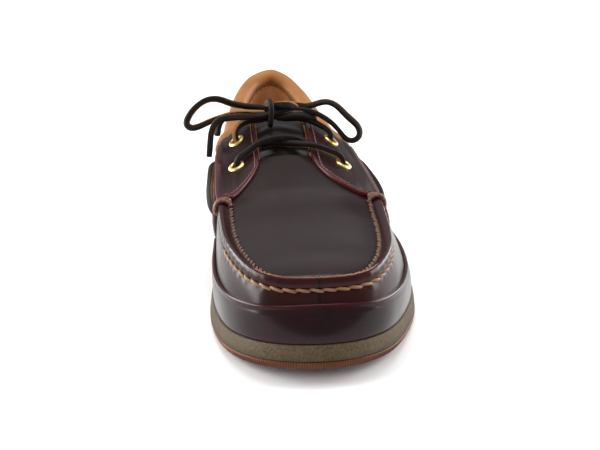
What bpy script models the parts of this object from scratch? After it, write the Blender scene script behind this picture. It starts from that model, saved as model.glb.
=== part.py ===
"""Boat shoe for the left foot: two-eyelet lacing, hand-sewn moccasin front, padded collar.

The toe points along -Y, the outer (lateral) side is +X, and the sole stands on Z = 0.
A place on the upper is named by side (MEDIAL or LATERAL), by run (share of the half outline
from toe centre to heel centre) and by climb (0 at the sole, 1 under the shoulder, 2 on the top
panel, 3 at the throat line).
"""

import math

import bmesh
import bpy
import numpy as np

MM = 0.001

# Driving sizes
LENGTH = 296 * MM
BALL_WIDTH = 110 * MM
HEEL_HEIGHT = 87 * MM
WALL = 2.0 * MM
OVERLAY = 1.6 * MM
GAP = 0.3 * MM
CORD = 3.0 * MM

# Sole unit
OUTSOLE_EDGE = 4.4 * MM
TOE_SPRING = 9.0 * MM
ARCH_LIFT = 2.0 * MM
HEEL_BEVEL = 2.0 * MM
SPRING_END = 0.28
ARCH_SHARES = (0.46, 0.57, 0.61, 0.72)
BEVEL_START = 0.93
MIDSOLE_STEP = 1.0 * MM
UPPER_INSET = 3.9 * MM
INSOLE_THICK = 4.0 * MM
EDGE_TUCK = 3.4 * MM

# Moccasin rim, throat and collar
RIM_END = 0.415
EYESTAY_END = 0.64
COLLAR_START = 0.646
THROAT_START = 0.52
THROAT_MIDDLE = -3.0 * MM
THROAT_WIDTH = 29.0 * MM
SHOULDER_DROP = 6.0 * MM
COLLAR_DROP = 10.4 * MM
SHOULDER_REACH = 6.6 * MM
SHOULDER_FLARE = 0.6 * MM
SHOULDER_SINK = 0.4 * MM
WALL_LEAN = 1.3 * MM
PANEL_SINK = 2.4 * MM
THROAT_LIMITS = {-1: (0.22, 0.46), 1: (0.54, 0.78)}
COLLAR_HALF_WIDTH = 4.2 * MM
COLLAR_HALF_HEIGHT = 5.0 * MM

# Mudguard and quarter
MUDGUARD_HEIGHT = 17.8 * MM
QUARTER_FRONT = 0.422
QUARTER_SLANT = 0.075
PANEL_SPLIT = 0.012

# Tongue
TONGUE_THICK = 2.6 * MM
TONGUE_SINK = 0.45 * MM
TONGUE_RUNS = (0.49, 0.665)
TONGUE_ACROSS = (0.14, 0.86)

# Eyelets
EYELET_FLANGE = 4.7 * MM
EYELET_BARREL = 2.9 * MM
EYELET_BORE = 2.3 * MM

# Mesh fineness
STATIONS = 34
WALL_CLIMBS = (0.0, 0.25, 0.5, 0.75, 1.0)
TOP_CLIMBS = (2.0, 2.33, 2.67, 3.0)
MIDDLE_SHARES = (0.25, 0.5, 0.75)

MEDIAL, LATERAL = -1, 1

# Sole outline: share of length from the toe, medial and lateral reach as shares of ball width
OUTLINE = (
    (0.000, 0.000, 0.000),
    (0.010, 0.136, 0.136),
    (0.030, 0.236, 0.223),
    (0.070, 0.327, 0.323),
    (0.120, 0.391, 0.395),
    (0.180, 0.427, 0.459),
    (0.250, 0.445, 0.518),
    (0.320, 0.444, 0.550),
    (0.400, 0.418, 0.536),
    (0.500, 0.368, 0.473),
    (0.600, 0.336, 0.409),
    (0.700, 0.318, 0.364),
    (0.800, 0.318, 0.336),
    (0.880, 0.305, 0.312),
    (0.940, 0.250, 0.253),
    (0.980, 0.155, 0.155),
    (1.000, 0.000, 0.000),
)

# Height of the midsole's upper edge over the unbent sole: share of length, share of heel height
SOLE_RISE = (
    (0.00, 0.144),
    (0.15, 0.141),
    (0.32, 0.147),
    (0.50, 0.182),
    (0.70, 0.234),
    (0.85, 0.256),
    (1.00, 0.262),
)

# Shoulder line: the rim's crest in front, the eyestay's outer edge, then the collar's crest.
# Run, then for each side: share of length, reach as share of ball width, share of heel height
SHOULDER = {
    MEDIAL: (
        (0.000, 0.0490, 0.000, 0.574),
        (0.050, 0.0524, 0.127, 0.574),
        (0.100, 0.0743, 0.232, 0.578),
        (0.150, 0.1149, 0.300, 0.584),
        (0.200, 0.1622, 0.339, 0.592),
        (0.250, 0.2128, 0.366, 0.602),
        (0.300, 0.2669, 0.379, 0.617),
        (0.350, 0.3209, 0.381, 0.636),
        (0.415, 0.3919, 0.376, 0.666),
        (0.460, 0.4426, 0.373, 0.685),
        (0.520, 0.5068, 0.364, 0.715),
        (0.580, 0.5743, 0.349, 0.770),
        (0.640, 0.6385, 0.327, 0.816),
        (0.700, 0.7095, 0.272, 0.809),
        (0.760, 0.7804, 0.248, 0.826),
        (0.820, 0.8480, 0.211, 0.860),
        (0.880, 0.9122, 0.167, 0.910),
        (0.940, 0.9561, 0.094, 0.970),
        (1.000, 0.9696, 0.000, 1.000),
    ),
    LATERAL: (
        (0.000, 0.0490, 0.000, 0.574),
        (0.050, 0.0524, 0.127, 0.574),
        (0.100, 0.0726, 0.236, 0.578),
        (0.150, 0.1115, 0.305, 0.584),
        (0.200, 0.1588, 0.353, 0.592),
        (0.250, 0.2095, 0.379, 0.602),
        (0.300, 0.2635, 0.391, 0.616),
        (0.350, 0.3176, 0.395, 0.632),
        (0.415, 0.3919, 0.398, 0.662),
        (0.460, 0.4426, 0.396, 0.664),
        (0.520, 0.5101, 0.387, 0.678),
        (0.580, 0.5777, 0.359, 0.718),
        (0.640, 0.6486, 0.316, 0.776),
        (0.700, 0.7162, 0.260, 0.775),
        (0.760, 0.7838, 0.236, 0.787),
        (0.820, 0.8514, 0.205, 0.821),
        (0.880, 0.9122, 0.164, 0.876),
        (0.940, 0.9561, 0.094, 0.957),
        (1.000, 0.9696, 0.000, 1.000),
    ),
}

# Swell of the side wall: run, medial and lateral, in millimetres
SWELL = (
    (0.000, 1.6, 1.6),
    (0.150, 1.8, 1.8),
    (0.300, 1.5, 2.8),
    (0.415, 1.0, 2.2),
    (0.550, 2.6, 2.2),
    (0.700, 4.6, 4.4),
    (0.850, 4.8, 4.8),
    (1.000, 4.2, 4.2),
)

# Top panel: run, crown over the sides and backward bow of its lines, in millimetres
TOP_CROWN = (
    (0.000, 0.0, 0.0),
    (0.050, 0.8, 0.0),
    (0.100, 1.6, 0.0),
    (0.200, 3.0, 0.0),
    (0.300, 4.2, 0.0),
    (0.415, 6.0, 0.0),
    (0.520, 10.0, 1.0),
    (0.580, 13.5, 5.0),
    (0.640, 15.0, 13.0),
    (0.720, 17.0, 16.0),
)

# Rim section at the moccasin seam: outward and upward from the shoulder line, in millimetres
RIM_SECTION = (
    (1.7, -5.2),
    (1.9, -2.6),
    (0.3, -0.2),
    (-2.6, 0.5),
    (-4.9, -0.7),
    (-5.7, -2.7),
)

# Collar roll section: outward and upward shares of its half width and half height
COLLAR_SECTION = (
    (0.00, 1.00),
    (0.60, 0.82),
    (0.95, 0.35),
    (1.00, -0.20),
    (0.85, -1.00),
    (-0.55, -1.00),
    (-0.95, -0.45),
    (-0.95, 0.30),
    (-0.60, 0.82),
)

# Eyestay: how straight its front edge slants, and its columns from the shoulder to the throat
EYESTAY_CURVE = {MEDIAL: 0.55, LATERAL: 0.35}
EYESTAY_COLUMNS = (0.0, 0.05, 0.095, 0.14, 0.18, 0.33, 0.48, 0.62, 0.75, 0.86, 0.94, 0.985, 1.0)
EYESTAY_FOOT = 1.22
EYESTAY_SHOULDER = 0.18

# Eyelet places: name, side, run, climb
EYELETS = (
    ("eyelet_medial_lower", MEDIAL, 0.519, 2.24),
    ("eyelet_medial_upper", MEDIAL, 0.592, 2.26),
    ("eyelet_lateral_lower", LATERAL, 0.518, 2.31),
    ("eyelet_lateral_upper", LATERAL, 0.585, 2.39),
)


def read(table, column, at, level=False):
    """Smooth value of a table's column: a monotone cubic through its rows, level at the ends if asked."""
    x = np.array([row[0] for row in table])
    y = np.array([row[column] for row in table])
    step = np.diff(x)
    slope = np.diff(y) / step
    ends = (0.0, 0.0) if level else (slope[0], slope[-1])
    turn = np.r_[ends[0], np.zeros(len(x) - 2), ends[1]]
    for i in range(1, len(x) - 1):
        if slope[i - 1] * slope[i] > 0:
            before = 2 * step[i] + step[i - 1]
            after = step[i] + 2 * step[i - 1]
            turn[i] = (before + after) / (before / slope[i - 1] + after / slope[i])
    i = int(np.clip(np.searchsorted(x, at) - 1, 0, len(step) - 1))
    t = (at - x[i]) / step[i]
    start = (1 + 2 * t) * (1 - t) ** 2 * y[i] + t * (1 - t) ** 2 * step[i] * turn[i]
    end = t**2 * (3 - 2 * t) * y[i + 1] - t**2 * (1 - t) * step[i] * turn[i + 1]
    return start + end


def fade(at, start, end):
    """0 up to start, 1 from end, smooth between."""
    t = min(max((at - start) / (end - start), 0.0), 1.0)
    return t * t * (3 - 2 * t)


def spline(points, steps=40):
    """Centripetal Catmull-Rom curve through plan points, mirrored over X = 0 at both ends."""
    mirror = np.array([-1.0, 1.0])
    points = [np.array(point) for point in points]
    points = [points[1] * mirror, *points, points[-2] * mirror]
    curve = []
    for four in zip(points, points[1:], points[2:], points[3:]):
        chords = [math.sqrt(np.linalg.norm(b - a)) for a, b in zip(four, four[1:])]
        knots = np.cumsum([0.0, *chords])
        for at in np.linspace(knots[1], knots[2], steps, endpoint=False):
            row = list(four)
            for level in (1, 2, 3):
                row = [
                    (row[i] * (knots[i + level] - at) + row[i + 1] * (at - knots[i]))
                    / (knots[i + level] - knots[i])
                    for i in range(len(row) - 1)
                ]
            curve.append(row[0])
    return np.array([*curve, points[-2]])


def half_outline(side):
    """Shares of run, plan points and inward normals along one side of the sole outline."""
    column = 1 if side == MEDIAL else 2
    curve = spline([(side * row[column] * BALL_WIDTH, (row[0] - 0.5) * LENGTH) for row in OUTLINE])
    lengths = np.r_[0, np.cumsum(np.linalg.norm(np.diff(curve, axis=0), axis=1))]
    along = np.gradient(curve, axis=0)
    along /= np.linalg.norm(along, axis=1)[:, None]
    inward = np.stack([-along[:, 1], along[:, 0]], axis=1) * side
    return lengths / lengths[-1], curve, inward


HALVES = {side: half_outline(side) for side in (MEDIAL, LATERAL)}
AXIS_X = -(HALVES[MEDIAL][1][:, 0].min() + HALVES[LATERAL][1][:, 0].max()) / 2


def on_outline(side, run, inset):
    """Plan point on the sole outline, moved inward."""
    runs, curve, inward = HALVES[side]
    point = [np.interp(run, runs, curve[:, i]) for i in (0, 1)]
    normal = [np.interp(run, runs, inward[:, i]) for i in (0, 1)]
    normal = np.array(normal) / np.linalg.norm(normal)
    if run in (0.0, 1.0):
        normal = np.array([0.0, 1.0 if run == 0.0 else -1.0])
    return np.array(point) + inset * normal, normal


def share_of(y):
    return min(max(y / LENGTH + 0.5, 0.0), 1.0)


def toe_lift(share):
    """Toe spring at a share of the length."""
    return TOE_SPRING * max(0.0, 1 - share / SPRING_END) ** 1.7


def ground(y):
    """Underside of the sole: flat forefoot and heel, toe spring, a low arch and a worn-in heel edge."""
    share = share_of(y)
    rise_start, rise_end, fall_start, fall_end = ARCH_SHARES
    arch = ARCH_LIFT * fade(share, rise_start, rise_end) * (1 - fade(share, fall_start, fall_end))
    bevel = HEEL_BEVEL * max(0.0, (share - BEVEL_START) / (1 - BEVEL_START)) ** 1.5
    return toe_lift(share) + arch + bevel


def feather(y):
    """Upper edge of the midsole, where the upper meets it."""
    share = share_of(y)
    return toe_lift(share) + HEEL_HEIGHT * read(SOLE_RISE, 1, share)


def shoulder(side, run):
    """Point of the shoulder line: crest of the rim, edge of the eyestay, crest of the collar."""
    rows = SHOULDER[side]
    y = (read(rows, 1, run, level=True) - 0.5) * LENGTH
    reach = read(rows, 2, run) * BALL_WIDTH
    if run in (0.0, 1.0):
        reach = 0.0
    return np.array([side * reach, y, read(rows, 3, run, level=True) * HEEL_HEIGHT])


def outward(side, run):
    return np.r_[-on_outline(side, run, 0.0)[1], 0.0]


def rimmed(run):
    """1 where the moccasin rim stands, fading to 0 behind its end."""
    return 1 - fade(run, RIM_END - 0.03, RIM_END - 0.002)


def wall_top(side, run):
    lowered = fade(run, EYESTAY_END - 0.03, EYESTAY_END)
    drop = SHOULDER_DROP + (COLLAR_DROP - SHOULDER_DROP) * lowered
    lean = WALL_LEAN * (1 - fade(run, EYESTAY_END, EYESTAY_END + 0.05))
    return shoulder(side, run) + outward(side, run) * lean - np.array([0.0, 0.0, drop])


def side_wall(side, run, climb):
    """Point on the side wall: climb 0 at the sole, 1 at the wall's top."""
    plan, _ = on_outline(side, run, UPPER_INSET)
    foot = np.array([plan[0], plan[1], feather(plan[1]) + GAP])
    swell = read(SWELL, 1 if side == MEDIAL else 2, run, level=True) * MM
    bulge = 4 * climb * (1 - climb) * swell
    return foot + climb * (wall_top(side, run) - foot) + bulge * outward(side, run)


def panel_edge(side, run):
    """Outer edge of the top panel, inside the shoulder."""
    reach = SHOULDER_REACH * (1 - 0.35 * (1 - fade(run, 0.0, 0.06)))
    sink = PANEL_SINK * (1 - fade(run, RIM_END, RIM_END + 0.14))
    return shoulder(side, run) - outward(side, run) * reach - np.array([0.0, 0.0, sink])


def top_panel(run, across):
    """Point on the crowned top: across 0 at the medial edge, 1 at the lateral edge."""
    a, b = panel_edge(MEDIAL, run), panel_edge(LATERAL, run)
    hump = 4 * across * (1 - across)
    crown = read(TOP_CROWN, 1, run) * MM * hump
    bow = read(TOP_CROWN, 2, run) * MM * hump
    return a + across * (b - a) + np.array([0.0, bow, crown])


def throat_across(side, run):
    """Share across the top panel at which the throat line runs."""
    a, b = panel_edge(MEDIAL, run), panel_edge(LATERAL, run)
    width = max(b[0] - a[0], MM)
    share = (THROAT_MIDDLE + side * THROAT_WIDTH / 2 - a[0]) / width
    least, most = THROAT_LIMITS[side]
    return min(max(share, least), most)


def form(side, run, climb):
    """Smooth outer form of the upper on one side."""
    if climb <= 1:
        return side_wall(side, run, climb)
    if climb <= 2:
        start, end = wall_top(side, run), panel_edge(side, run)
        corner = shoulder(side, run) + outward(side, run) * SHOULDER_FLARE
        corner[2] -= SHOULDER_SINK
        t = climb - 1
        return start * (1 - t) ** 2 + corner * 2 * t * (1 - t) + end * t**2
    share = throat_across(side, run)
    edge = 0.0 if side == MEDIAL else 1.0
    return top_panel(run, edge + (climb - 2) * (share - edge))


def over_form(side, run, climb, height):
    """Point at a height over the form, along its normal."""
    step_run, step_climb = 0.006, 0.05
    low, high = max(run - step_run, 0.004), min(run + step_run, 0.996)
    down, up = max(climb - step_climb, 0.0), min(climb + step_climb, 3.0)
    along = form(side, high, climb) - form(side, low, climb)
    inside = min(max(run, 0.01), 0.99)
    over = form(side, inside, up) - form(side, inside, down)
    normal = np.cross(along, over) * side
    return form(side, run, climb) + height * normal / np.linalg.norm(normal)


class Net:
    """Points and faces of one closed body."""

    def __init__(self):
        self.points = []
        self.faces = []
        self.index = {}

    def point(self, place, key=None):
        if key is not None and key in self.index:
            return self.index[key]
        self.points.append(tuple(place))
        if key is not None:
            self.index[key] = len(self.points) - 1
        return len(self.points) - 1

    def face(self, *corners):
        kept = [c for i, c in enumerate(corners) if c != corners[i - 1]]
        if len(set(kept)) > 2:
            self.faces.append(kept)

    def strip(self, first, second, closed=False):
        """Faces between two rows of points."""
        count = len(first)
        for i in range(count if closed else count - 1):
            j = (i + 1) % count
            self.face(first[i], first[j], second[j], second[i])


def material(name, color, roughness, metallic=0.0):
    made = bpy.data.materials.new(name)
    made.use_nodes = True
    shader = made.node_tree.nodes["Principled BSDF"]
    shader.inputs["Base Color"].default_value = (*color, 1.0)
    shader.inputs["Roughness"].default_value = roughness
    shader.inputs["Metallic"].default_value = metallic
    return made


def add_body(name, net, look, collection):
    """Object of a closed net, its faces turned outward and its box centred on X = 0."""
    mesh = bpy.data.meshes.new(name)
    points = [(x + AXIS_X, y, z) for x, y, z in net.points]
    mesh.from_pydata(points, [], net.faces)
    body = bmesh.new()
    body.from_mesh(mesh)
    bmesh.ops.recalc_face_normals(body, faces=body.faces)
    if body.calc_volume(signed=True) < 0:
        bmesh.ops.reverse_faces(body, faces=body.faces)
    body.to_mesh(mesh)
    body.free()
    mesh.materials.append(look)
    made = bpy.data.objects.new(name, mesh)
    collection.objects.link(made)
    return made


def loop_runs(count):
    """Places round the whole outline: medial side from toe to heel, then lateral side back."""
    runs = [i / count for i in range(count + 1)]
    medial = [(MEDIAL, run) for run in runs]
    lateral = [(LATERAL, run) for run in reversed(runs[1:-1])]
    return medial + lateral


def add_slab(name, rings, look, collection, count=STATIONS, columns=4):
    """Body from rings of (inset, height function) listed from its underside to its top."""
    net = Net()
    places = loop_runs(count)
    rows = []
    for level, (inset, height) in enumerate(rings):
        row = []
        for side, run in places:
            plan, _ = on_outline(side, run, inset)
            row.append(net.point((plan[0], plan[1], height(plan[1])), (level, side * (0 < run < 1), run)))
        rows.append(row)
    for low, high in zip(rows, rows[1:]):
        net.strip(low, high, closed=True)
    for level in (0, len(rings) - 1):
        height = rings[level][1]
        lines = []
        for i in range(count + 1):
            a, b = rows[level][i], rows[level][(2 * count - i) % (2 * count)]
            line = [a]
            for k in range(1, columns):
                if a == b:
                    line.append(a)
                    continue
                x, y = (np.array(net.points[a]) + (np.array(net.points[b]) - net.points[a]) * k / columns)[:2]
                line.append(net.point((x, y, height(y))))
            lines.append([*line, b])
        for first, second in zip(lines, lines[1:]):
            net.strip(first, second)
    return add_body(name, net, look, collection)


def add_sheet(name, grid, look, collection):
    """Closed sheet between two equal grids of points, grid(layer) giving rows for layer 0 and 1."""
    net = Net()
    layers = []
    for layer in (0, 1):
        layers.append([[net.point(place) for place in row] for row in grid(layer)])
    for rows in layers:
        for first, second in zip(rows, rows[1:]):
            net.strip(first, second)
    under, over = layers
    net.strip(under[0], over[0])
    net.strip(under[-1], over[-1])
    net.strip([row[0] for row in under], [row[0] for row in over])
    net.strip([row[-1] for row in under], [row[-1] for row in over])
    return add_body(name, net, look, collection)


def over_top(run, across, height):
    """Point at a height over the top panel, along its normal."""
    step = 0.01
    along = top_panel(min(run + step, 0.72), across) - top_panel(max(run - step, 0.001), across)
    inside = max(run, 0.01)
    over = top_panel(inside, min(across + step, 1.0)) - top_panel(inside, max(across - step, 0.0))
    normal = np.cross(over, along)
    return top_panel(run, across) + height * normal / max(np.linalg.norm(normal), 1e-9)


def station_runs():
    """Runs of the upper's stations, with one at each named end."""
    named = {RIM_END, THROAT_START, EYESTAY_END}
    even = {i / STATIONS for i in range(STATIONS + 1)}
    clear = {run for run in even if min(abs(run - at) for at in named) > 0.45 / STATIONS}
    return sorted(named | clear)


def upper_section(side, run, height):
    """Points of one side of the upper's section, from the sole to the throat line."""
    rim_count = len(RIM_SECTION)
    climbs = list(WALL_CLIMBS)
    if run <= EYESTAY_END:
        climbs += [1 + (k + 1) / (rim_count + 1) for k in range(rim_count)] + list(TOP_CLIMBS)
    points = []
    for i, climb in enumerate(climbs):
        if height:
            place = over_form(side, run, climb, height)
        else:
            place = form(side, run, climb)
        k = i - len(WALL_CLIMBS)
        if not height and 0 <= k < rim_count:
            out, up = RIM_SECTION[k]
            rim = shoulder(side, run) + outward(side, run) * out * MM + np.array([0, 0, up * MM])
            place = place + rimmed(run) * (rim - place)
        if i == 0:
            place[2] = feather(place[1]) + GAP
        if run in (0.0, 1.0):
            place[0] = 0.0
        points.append(place)
    return points


def add_upper(look, collection):
    """Hollow upper: vamp wall, moccasin rim, top panel, sides and back in one leather skin."""
    net = Net()
    runs = station_runs()
    skins = []
    for height in (0.0, -WALL):
        lines = []
        for run in runs:
            line = {}
            for side in (MEDIAL, LATERAL):
                line[side] = []
                for i, place in enumerate(upper_section(side, run, height)):
                    merged = i if i < len(WALL_CLIMBS) + len(RIM_SECTION) or run > 0 else "toe"
                    line[side].append(net.point(place, (height, side * (0 < run < 1), run, merged)))
            if run < THROAT_START + 1e-6:
                shares = [throat_across(side, run) for side in (MEDIAL, LATERAL)]
                middle = []
                for share in MIDDLE_SHARES:
                    across = shares[0] + share * (shares[1] - shares[0])
                    place = over_top(run, across, height)
                    middle.append(line[MEDIAL][-1] if run == 0 else net.point(place))
                line["middle"] = [line[MEDIAL][-1], *middle, line[LATERAL][-1]]
            lines.append(line)
        for first, second in zip(lines, lines[1:]):
            for side in (MEDIAL, LATERAL):
                count = min(len(first[side]), len(second[side]))
                net.strip(first[side][:count], second[side][:count])
            if "middle" in second:
                net.strip(first["middle"], second["middle"])
        skins.append(lines)
    outer, inner = skins
    for first, second, third, fourth in zip(outer, outer[1:], inner, inner[1:]):
        for side in (MEDIAL, LATERAL):
            net.face(first[side][0], second[side][0], fourth[side][0], third[side][0])
            if len(second[side]) == len(WALL_CLIMBS):
                top = len(WALL_CLIMBS) - 1
                net.face(first[side][top], second[side][top], fourth[side][top], third[side][top])
            elif "middle" not in second:
                net.face(first[side][-1], second[side][-1], fourth[side][-1], third[side][-1])
    for line, under in zip(outer, inner):
        if "middle" in line and line is outer[runs.index(THROAT_START)]:
            net.strip(line["middle"], under["middle"])
    end = runs.index(EYESTAY_END)
    for side in (MEDIAL, LATERAL):
        start = len(WALL_CLIMBS) - 1
        net.strip(outer[end][side][start:], inner[end][side][start:])
    return add_body("upper", net, look, collection)


def quarter_front(climb):
    """Run of the quarter's front edge, which slants back towards the sole."""
    return QUARTER_FRONT + QUARTER_SLANT * (1 - climb) ** 1.3


def mudguard_top(side, run):
    """Climb of the mudguard's folded edge on the side wall."""
    plan, _ = on_outline(side, run, UPPER_INSET)
    return MUDGUARD_HEIGHT / (wall_top(side, run)[2] - feather(plan[1]))


def wall_place(side, run, climb, height):
    """Point over the side wall, kept on the sole's edge and on the middle line at the ends."""
    place = over_form(side, run, climb, height)
    if climb == 0.0:
        place = form(side, run, 0.0) + outward(side, run) * height
        place[2] = feather(place[1]) + GAP
    if run in (0.0, 1.0):
        place[0] = 0.0
    return place


def add_mudguard(look, collection):
    """Band round the toe over the vamp wall, from the sole up to its folded edge."""
    runs = [run for run in station_runs() if run < QUARTER_FRONT]
    last = runs[-1]
    places = [(MEDIAL, run) for run in reversed(runs)] + [(LATERAL, run) for run in runs[1:]]

    def grid(layer):
        height = GAP + layer * OVERLAY
        rows = []
        for side, run in places:
            row = []
            for share in (0.0, 0.33, 0.67, 1.0):
                climb = share * mudguard_top(side, run)
                slide = fade(run, last - 0.06, last)
                slid = run + slide * (quarter_front(climb) - PANEL_SPLIT - last)
                row.append(wall_place(side, slid, climb, height + slide * 2 * GAP))
            rows.append(row)
        return rows

    return add_sheet("mudguard", grid, look, collection)


def add_quarter(look, collection):
    """Side and back panel, from the medial front edge round the heel to the lateral front edge."""
    runs = [run for run in station_runs() if run > QUARTER_FRONT]
    first = runs[0]
    places = [(MEDIAL, run) for run in runs] + [(LATERAL, run) for run in reversed(runs[:-1])]

    def grid(layer):
        height = GAP + layer * OVERLAY
        rows = []
        for side, run in places:
            row = []
            top = 0.96 + 0.16 * (1 - fade(run, EYESTAY_END - 0.05, EYESTAY_END - 0.01))
            for climb in (0.0, 0.25, 0.5, 0.75, 0.93, top):
                front = quarter_front(min(climb, 1.0))
                slid = run + (1 - fade(run, first, first + 0.09)) * (front - first)
                row.append(wall_place(side, slid, climb, height))
            rows.append(row)
        return rows

    return add_sheet("quarter", grid, look, collection)


def eyestay_front(side, share):
    """Run of the eyestay's front edge: a slanted line that turns up into the throat edge."""
    slant = EYESTAY_CURVE[side]
    curve = slant * share**1.2 + (1 - slant) * (1 - math.sqrt(1 - share**2))
    return RIM_END + curve * (THROAT_START - RIM_END)


def eyestay_climb(share):
    """Climb on the form for a share across the eyestay, from its outer edge to the throat."""
    if share < EYESTAY_SHOULDER:
        return EYESTAY_FOOT + (2 - EYESTAY_FOOT) * share / EYESTAY_SHOULDER
    return 2 + (share - EYESTAY_SHOULDER) / (1 - EYESTAY_SHOULDER)


def add_eyestay(name, side, look, collection):
    """Wing that carries two eyelets, from the shoulder to the throat edge."""

    def grid(layer):
        height = GAP + layer * OVERLAY
        rows = []
        for share in EYESTAY_COLUMNS:
            front = eyestay_front(side, share)
            runs = [front + (EYESTAY_END - 0.002 - front) * i / 8 for i in range(9)]
            rows.append([over_form(side, run, eyestay_climb(share), height) for run in runs])
        return rows

    return add_sheet(name, grid, look, collection)


def add_collar(look, collection):
    """Padded roll along the topline, from one eyestay round the heel to the other."""
    net = Net()
    runs = [COLLAR_START + (1 - COLLAR_START) * i / 20 for i in range(21)]
    places = [(MEDIAL, run) for run in runs] + [(LATERAL, run) for run in reversed(runs[:-1])]
    rows = []
    for side, run in places:
        crest, out = shoulder(side, run), outward(side, run)
        row = []
        for across, up in COLLAR_SECTION:
            lift = np.array([0.0, 0.0, COLLAR_HALF_HEIGHT * (up - 1)])
            row.append(net.point(crest + out * COLLAR_HALF_WIDTH * across + lift))
        rows.append(row)
    for first, second in zip(rows, rows[1:]):
        net.strip(first, second, closed=True)
    net.face(*rows[0])
    net.face(*reversed(rows[-1]))
    return add_body("collar", net, look, collection)


def add_tongue(look, collection):
    """Tongue from under the top panel to behind the knot, with rounded upper corners."""

    def grid(layer):
        height = -(WALL + TONGUE_SINK + layer * TONGUE_THICK)
        rows = []
        for i in range(13):
            along = i / 12
            run = TONGUE_RUNS[0] + along * (TONGUE_RUNS[1] - TONGUE_RUNS[0])
            narrow = 0.09 * max(0.0, (along - 0.8) / 0.2) ** 2
            a, b = TONGUE_ACROSS[0] + narrow, TONGUE_ACROSS[1] - narrow
            rows.append([over_top(run, a + (b - a) * k / 8, height) for k in range(9)])
        return rows

    return add_sheet("tongue", grid, look, collection)


def add_sole(looks, collection):
    """Outsole, midsole and insole, each a slab inside the one outline."""

    def over_ground(lift):
        return lambda y: ground(y) + lift

    def outsole_edge(y):
        return ground(y) + OUTSOLE_EDGE

    def under_upper(lift):
        return lambda y: feather(y) + lift

    add_slab(
        "outsole",
        (
            (EDGE_TUCK, over_ground(0.0)),
            (1.2 * MM, over_ground(1.0 * MM)),
            (0.0, over_ground(2.6 * MM)),
            (0.0, outsole_edge),
        ),
        looks["outsole"],
        collection,
    )
    add_slab(
        "midsole",
        (
            (0.2 * MM, lambda y: outsole_edge(y) + GAP),
            (MIDSOLE_STEP, under_upper(-1.0 * MM)),
            (MIDSOLE_STEP + 0.8 * MM, under_upper(0.0)),
        ),
        looks["midsole"],
        collection,
    )
    add_slab(
        "insole",
        (
            (UPPER_INSET + WALL + 1.3 * MM, under_upper(GAP)),
            (UPPER_INSET + WALL + 1.3 * MM, under_upper(GAP + INSOLE_THICK - 1.0 * MM)),
            (UPPER_INSET + WALL + 2.3 * MM, under_upper(GAP + INSOLE_THICK)),
        ),
        looks["insole"],
        collection,
        count=26,
        columns=3,
    )


def surface_frame(side, run, climb):
    """Point of the form with two tangents and the normal."""
    place = form(side, run, climb)
    normal = over_form(side, run, climb, 1.0) - place
    along = form(side, run + 0.01, climb) - place
    along -= normal * along.dot(normal)
    along /= np.linalg.norm(along)
    return place, along, np.cross(normal, along), normal


def turned(name, profile, frame, look, collection, sides=14):
    """Closed ring of a profile of (radius, height) turned about the normal of a frame."""
    place, along, over, normal = frame
    net = Net()
    rings = []
    for radius, height in profile:
        ring = []
        for k in range(sides):
            angle = 2 * math.pi * k / sides
            around = along * math.cos(angle) + over * math.sin(angle)
            ring.append(net.point(place + around * radius + normal * height))
        rings.append(ring)
    if profile[0][0] == profile[-1][0] and len(profile) == 2:
        net.face(*rings[0])
        net.face(*reversed(rings[1]))
        net.strip(rings[0], rings[1], closed=True)
    else:
        for low, high in zip(rings, rings[1:] + rings[:1]):
            net.strip(low, high, closed=True)
    return add_body(name, net, look, collection)


def add_eyelets(looks, shoe, cutters):
    """Brass eyelets, and the holes they pass through."""
    seat = GAP + OVERLAY + GAP
    foot = -(WALL + 0.1 * MM)
    profile = (
        (EYELET_BORE, seat + 0.5 * MM),
        (EYELET_BORE + 0.8 * MM, seat + 1.0 * MM),
        (EYELET_FLANGE - 0.7 * MM, seat + 0.8 * MM),
        (EYELET_FLANGE, seat),
        (EYELET_BARREL, seat),
        (EYELET_BARREL, foot),
        (EYELET_BORE, foot),
    )
    hole = EYELET_BARREL + GAP
    for name, side, run, climb in EYELETS:
        frame = surface_frame(side, run, climb)
        turned(name, profile, frame, looks["eyelet"], shoe)
        reach = 4 * MM
        cutter = turned(name + "_hole", ((hole, -reach), (hole, reach)), frame, looks["eyelet"], cutters)
        cutter.hide_render = True
        cutter.display_type = "WIRE"
        panel = "eyestay_medial" if side == MEDIAL else "eyestay_lateral"
        for target in ("upper", panel):
            cut = bpy.data.objects[target].modifiers.new(name, "BOOLEAN")
            cut.operation = "DIFFERENCE"
            cut.solver = "EXACT"
            cut.object = cutter


def cord_curve(name, points, collection, look, radii=None):
    """Round cord along points given in metres."""
    data = bpy.data.curves.new(name, "CURVE")
    data.dimensions = "3D"
    data.bevel_depth = CORD / 2
    data.bevel_resolution = 2
    data.use_fill_caps = True
    path = data.splines.new("POLY")
    path.points.add(len(points) - 1)
    for i, place in enumerate(points):
        path.points[i].co = (place[0] + AXIS_X, place[1], place[2], 1.0)
        path.points[i].radius = radii[i] if radii else 1.0
    data.materials.append(look)
    made = bpy.data.objects.new(name, data)
    collection.objects.link(made)
    return made


def solid_of(cord):
    """Mesh object in place of a cord curve."""
    graph = bpy.context.evaluated_depsgraph_get()
    mesh = bpy.data.meshes.new_from_object(cord.evaluated_get(graph))
    body = bmesh.new()
    body.from_mesh(mesh)
    bmesh.ops.remove_doubles(body, verts=body.verts, dist=0.00001)
    bmesh.ops.recalc_face_normals(body, faces=body.faces)
    body.to_mesh(mesh)
    body.free()
    name, collection = cord.name, cord.users_collection[0]
    bpy.data.objects.remove(cord)
    made = bpy.data.objects.new(name, mesh)
    collection.objects.link(made)
    return made


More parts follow.
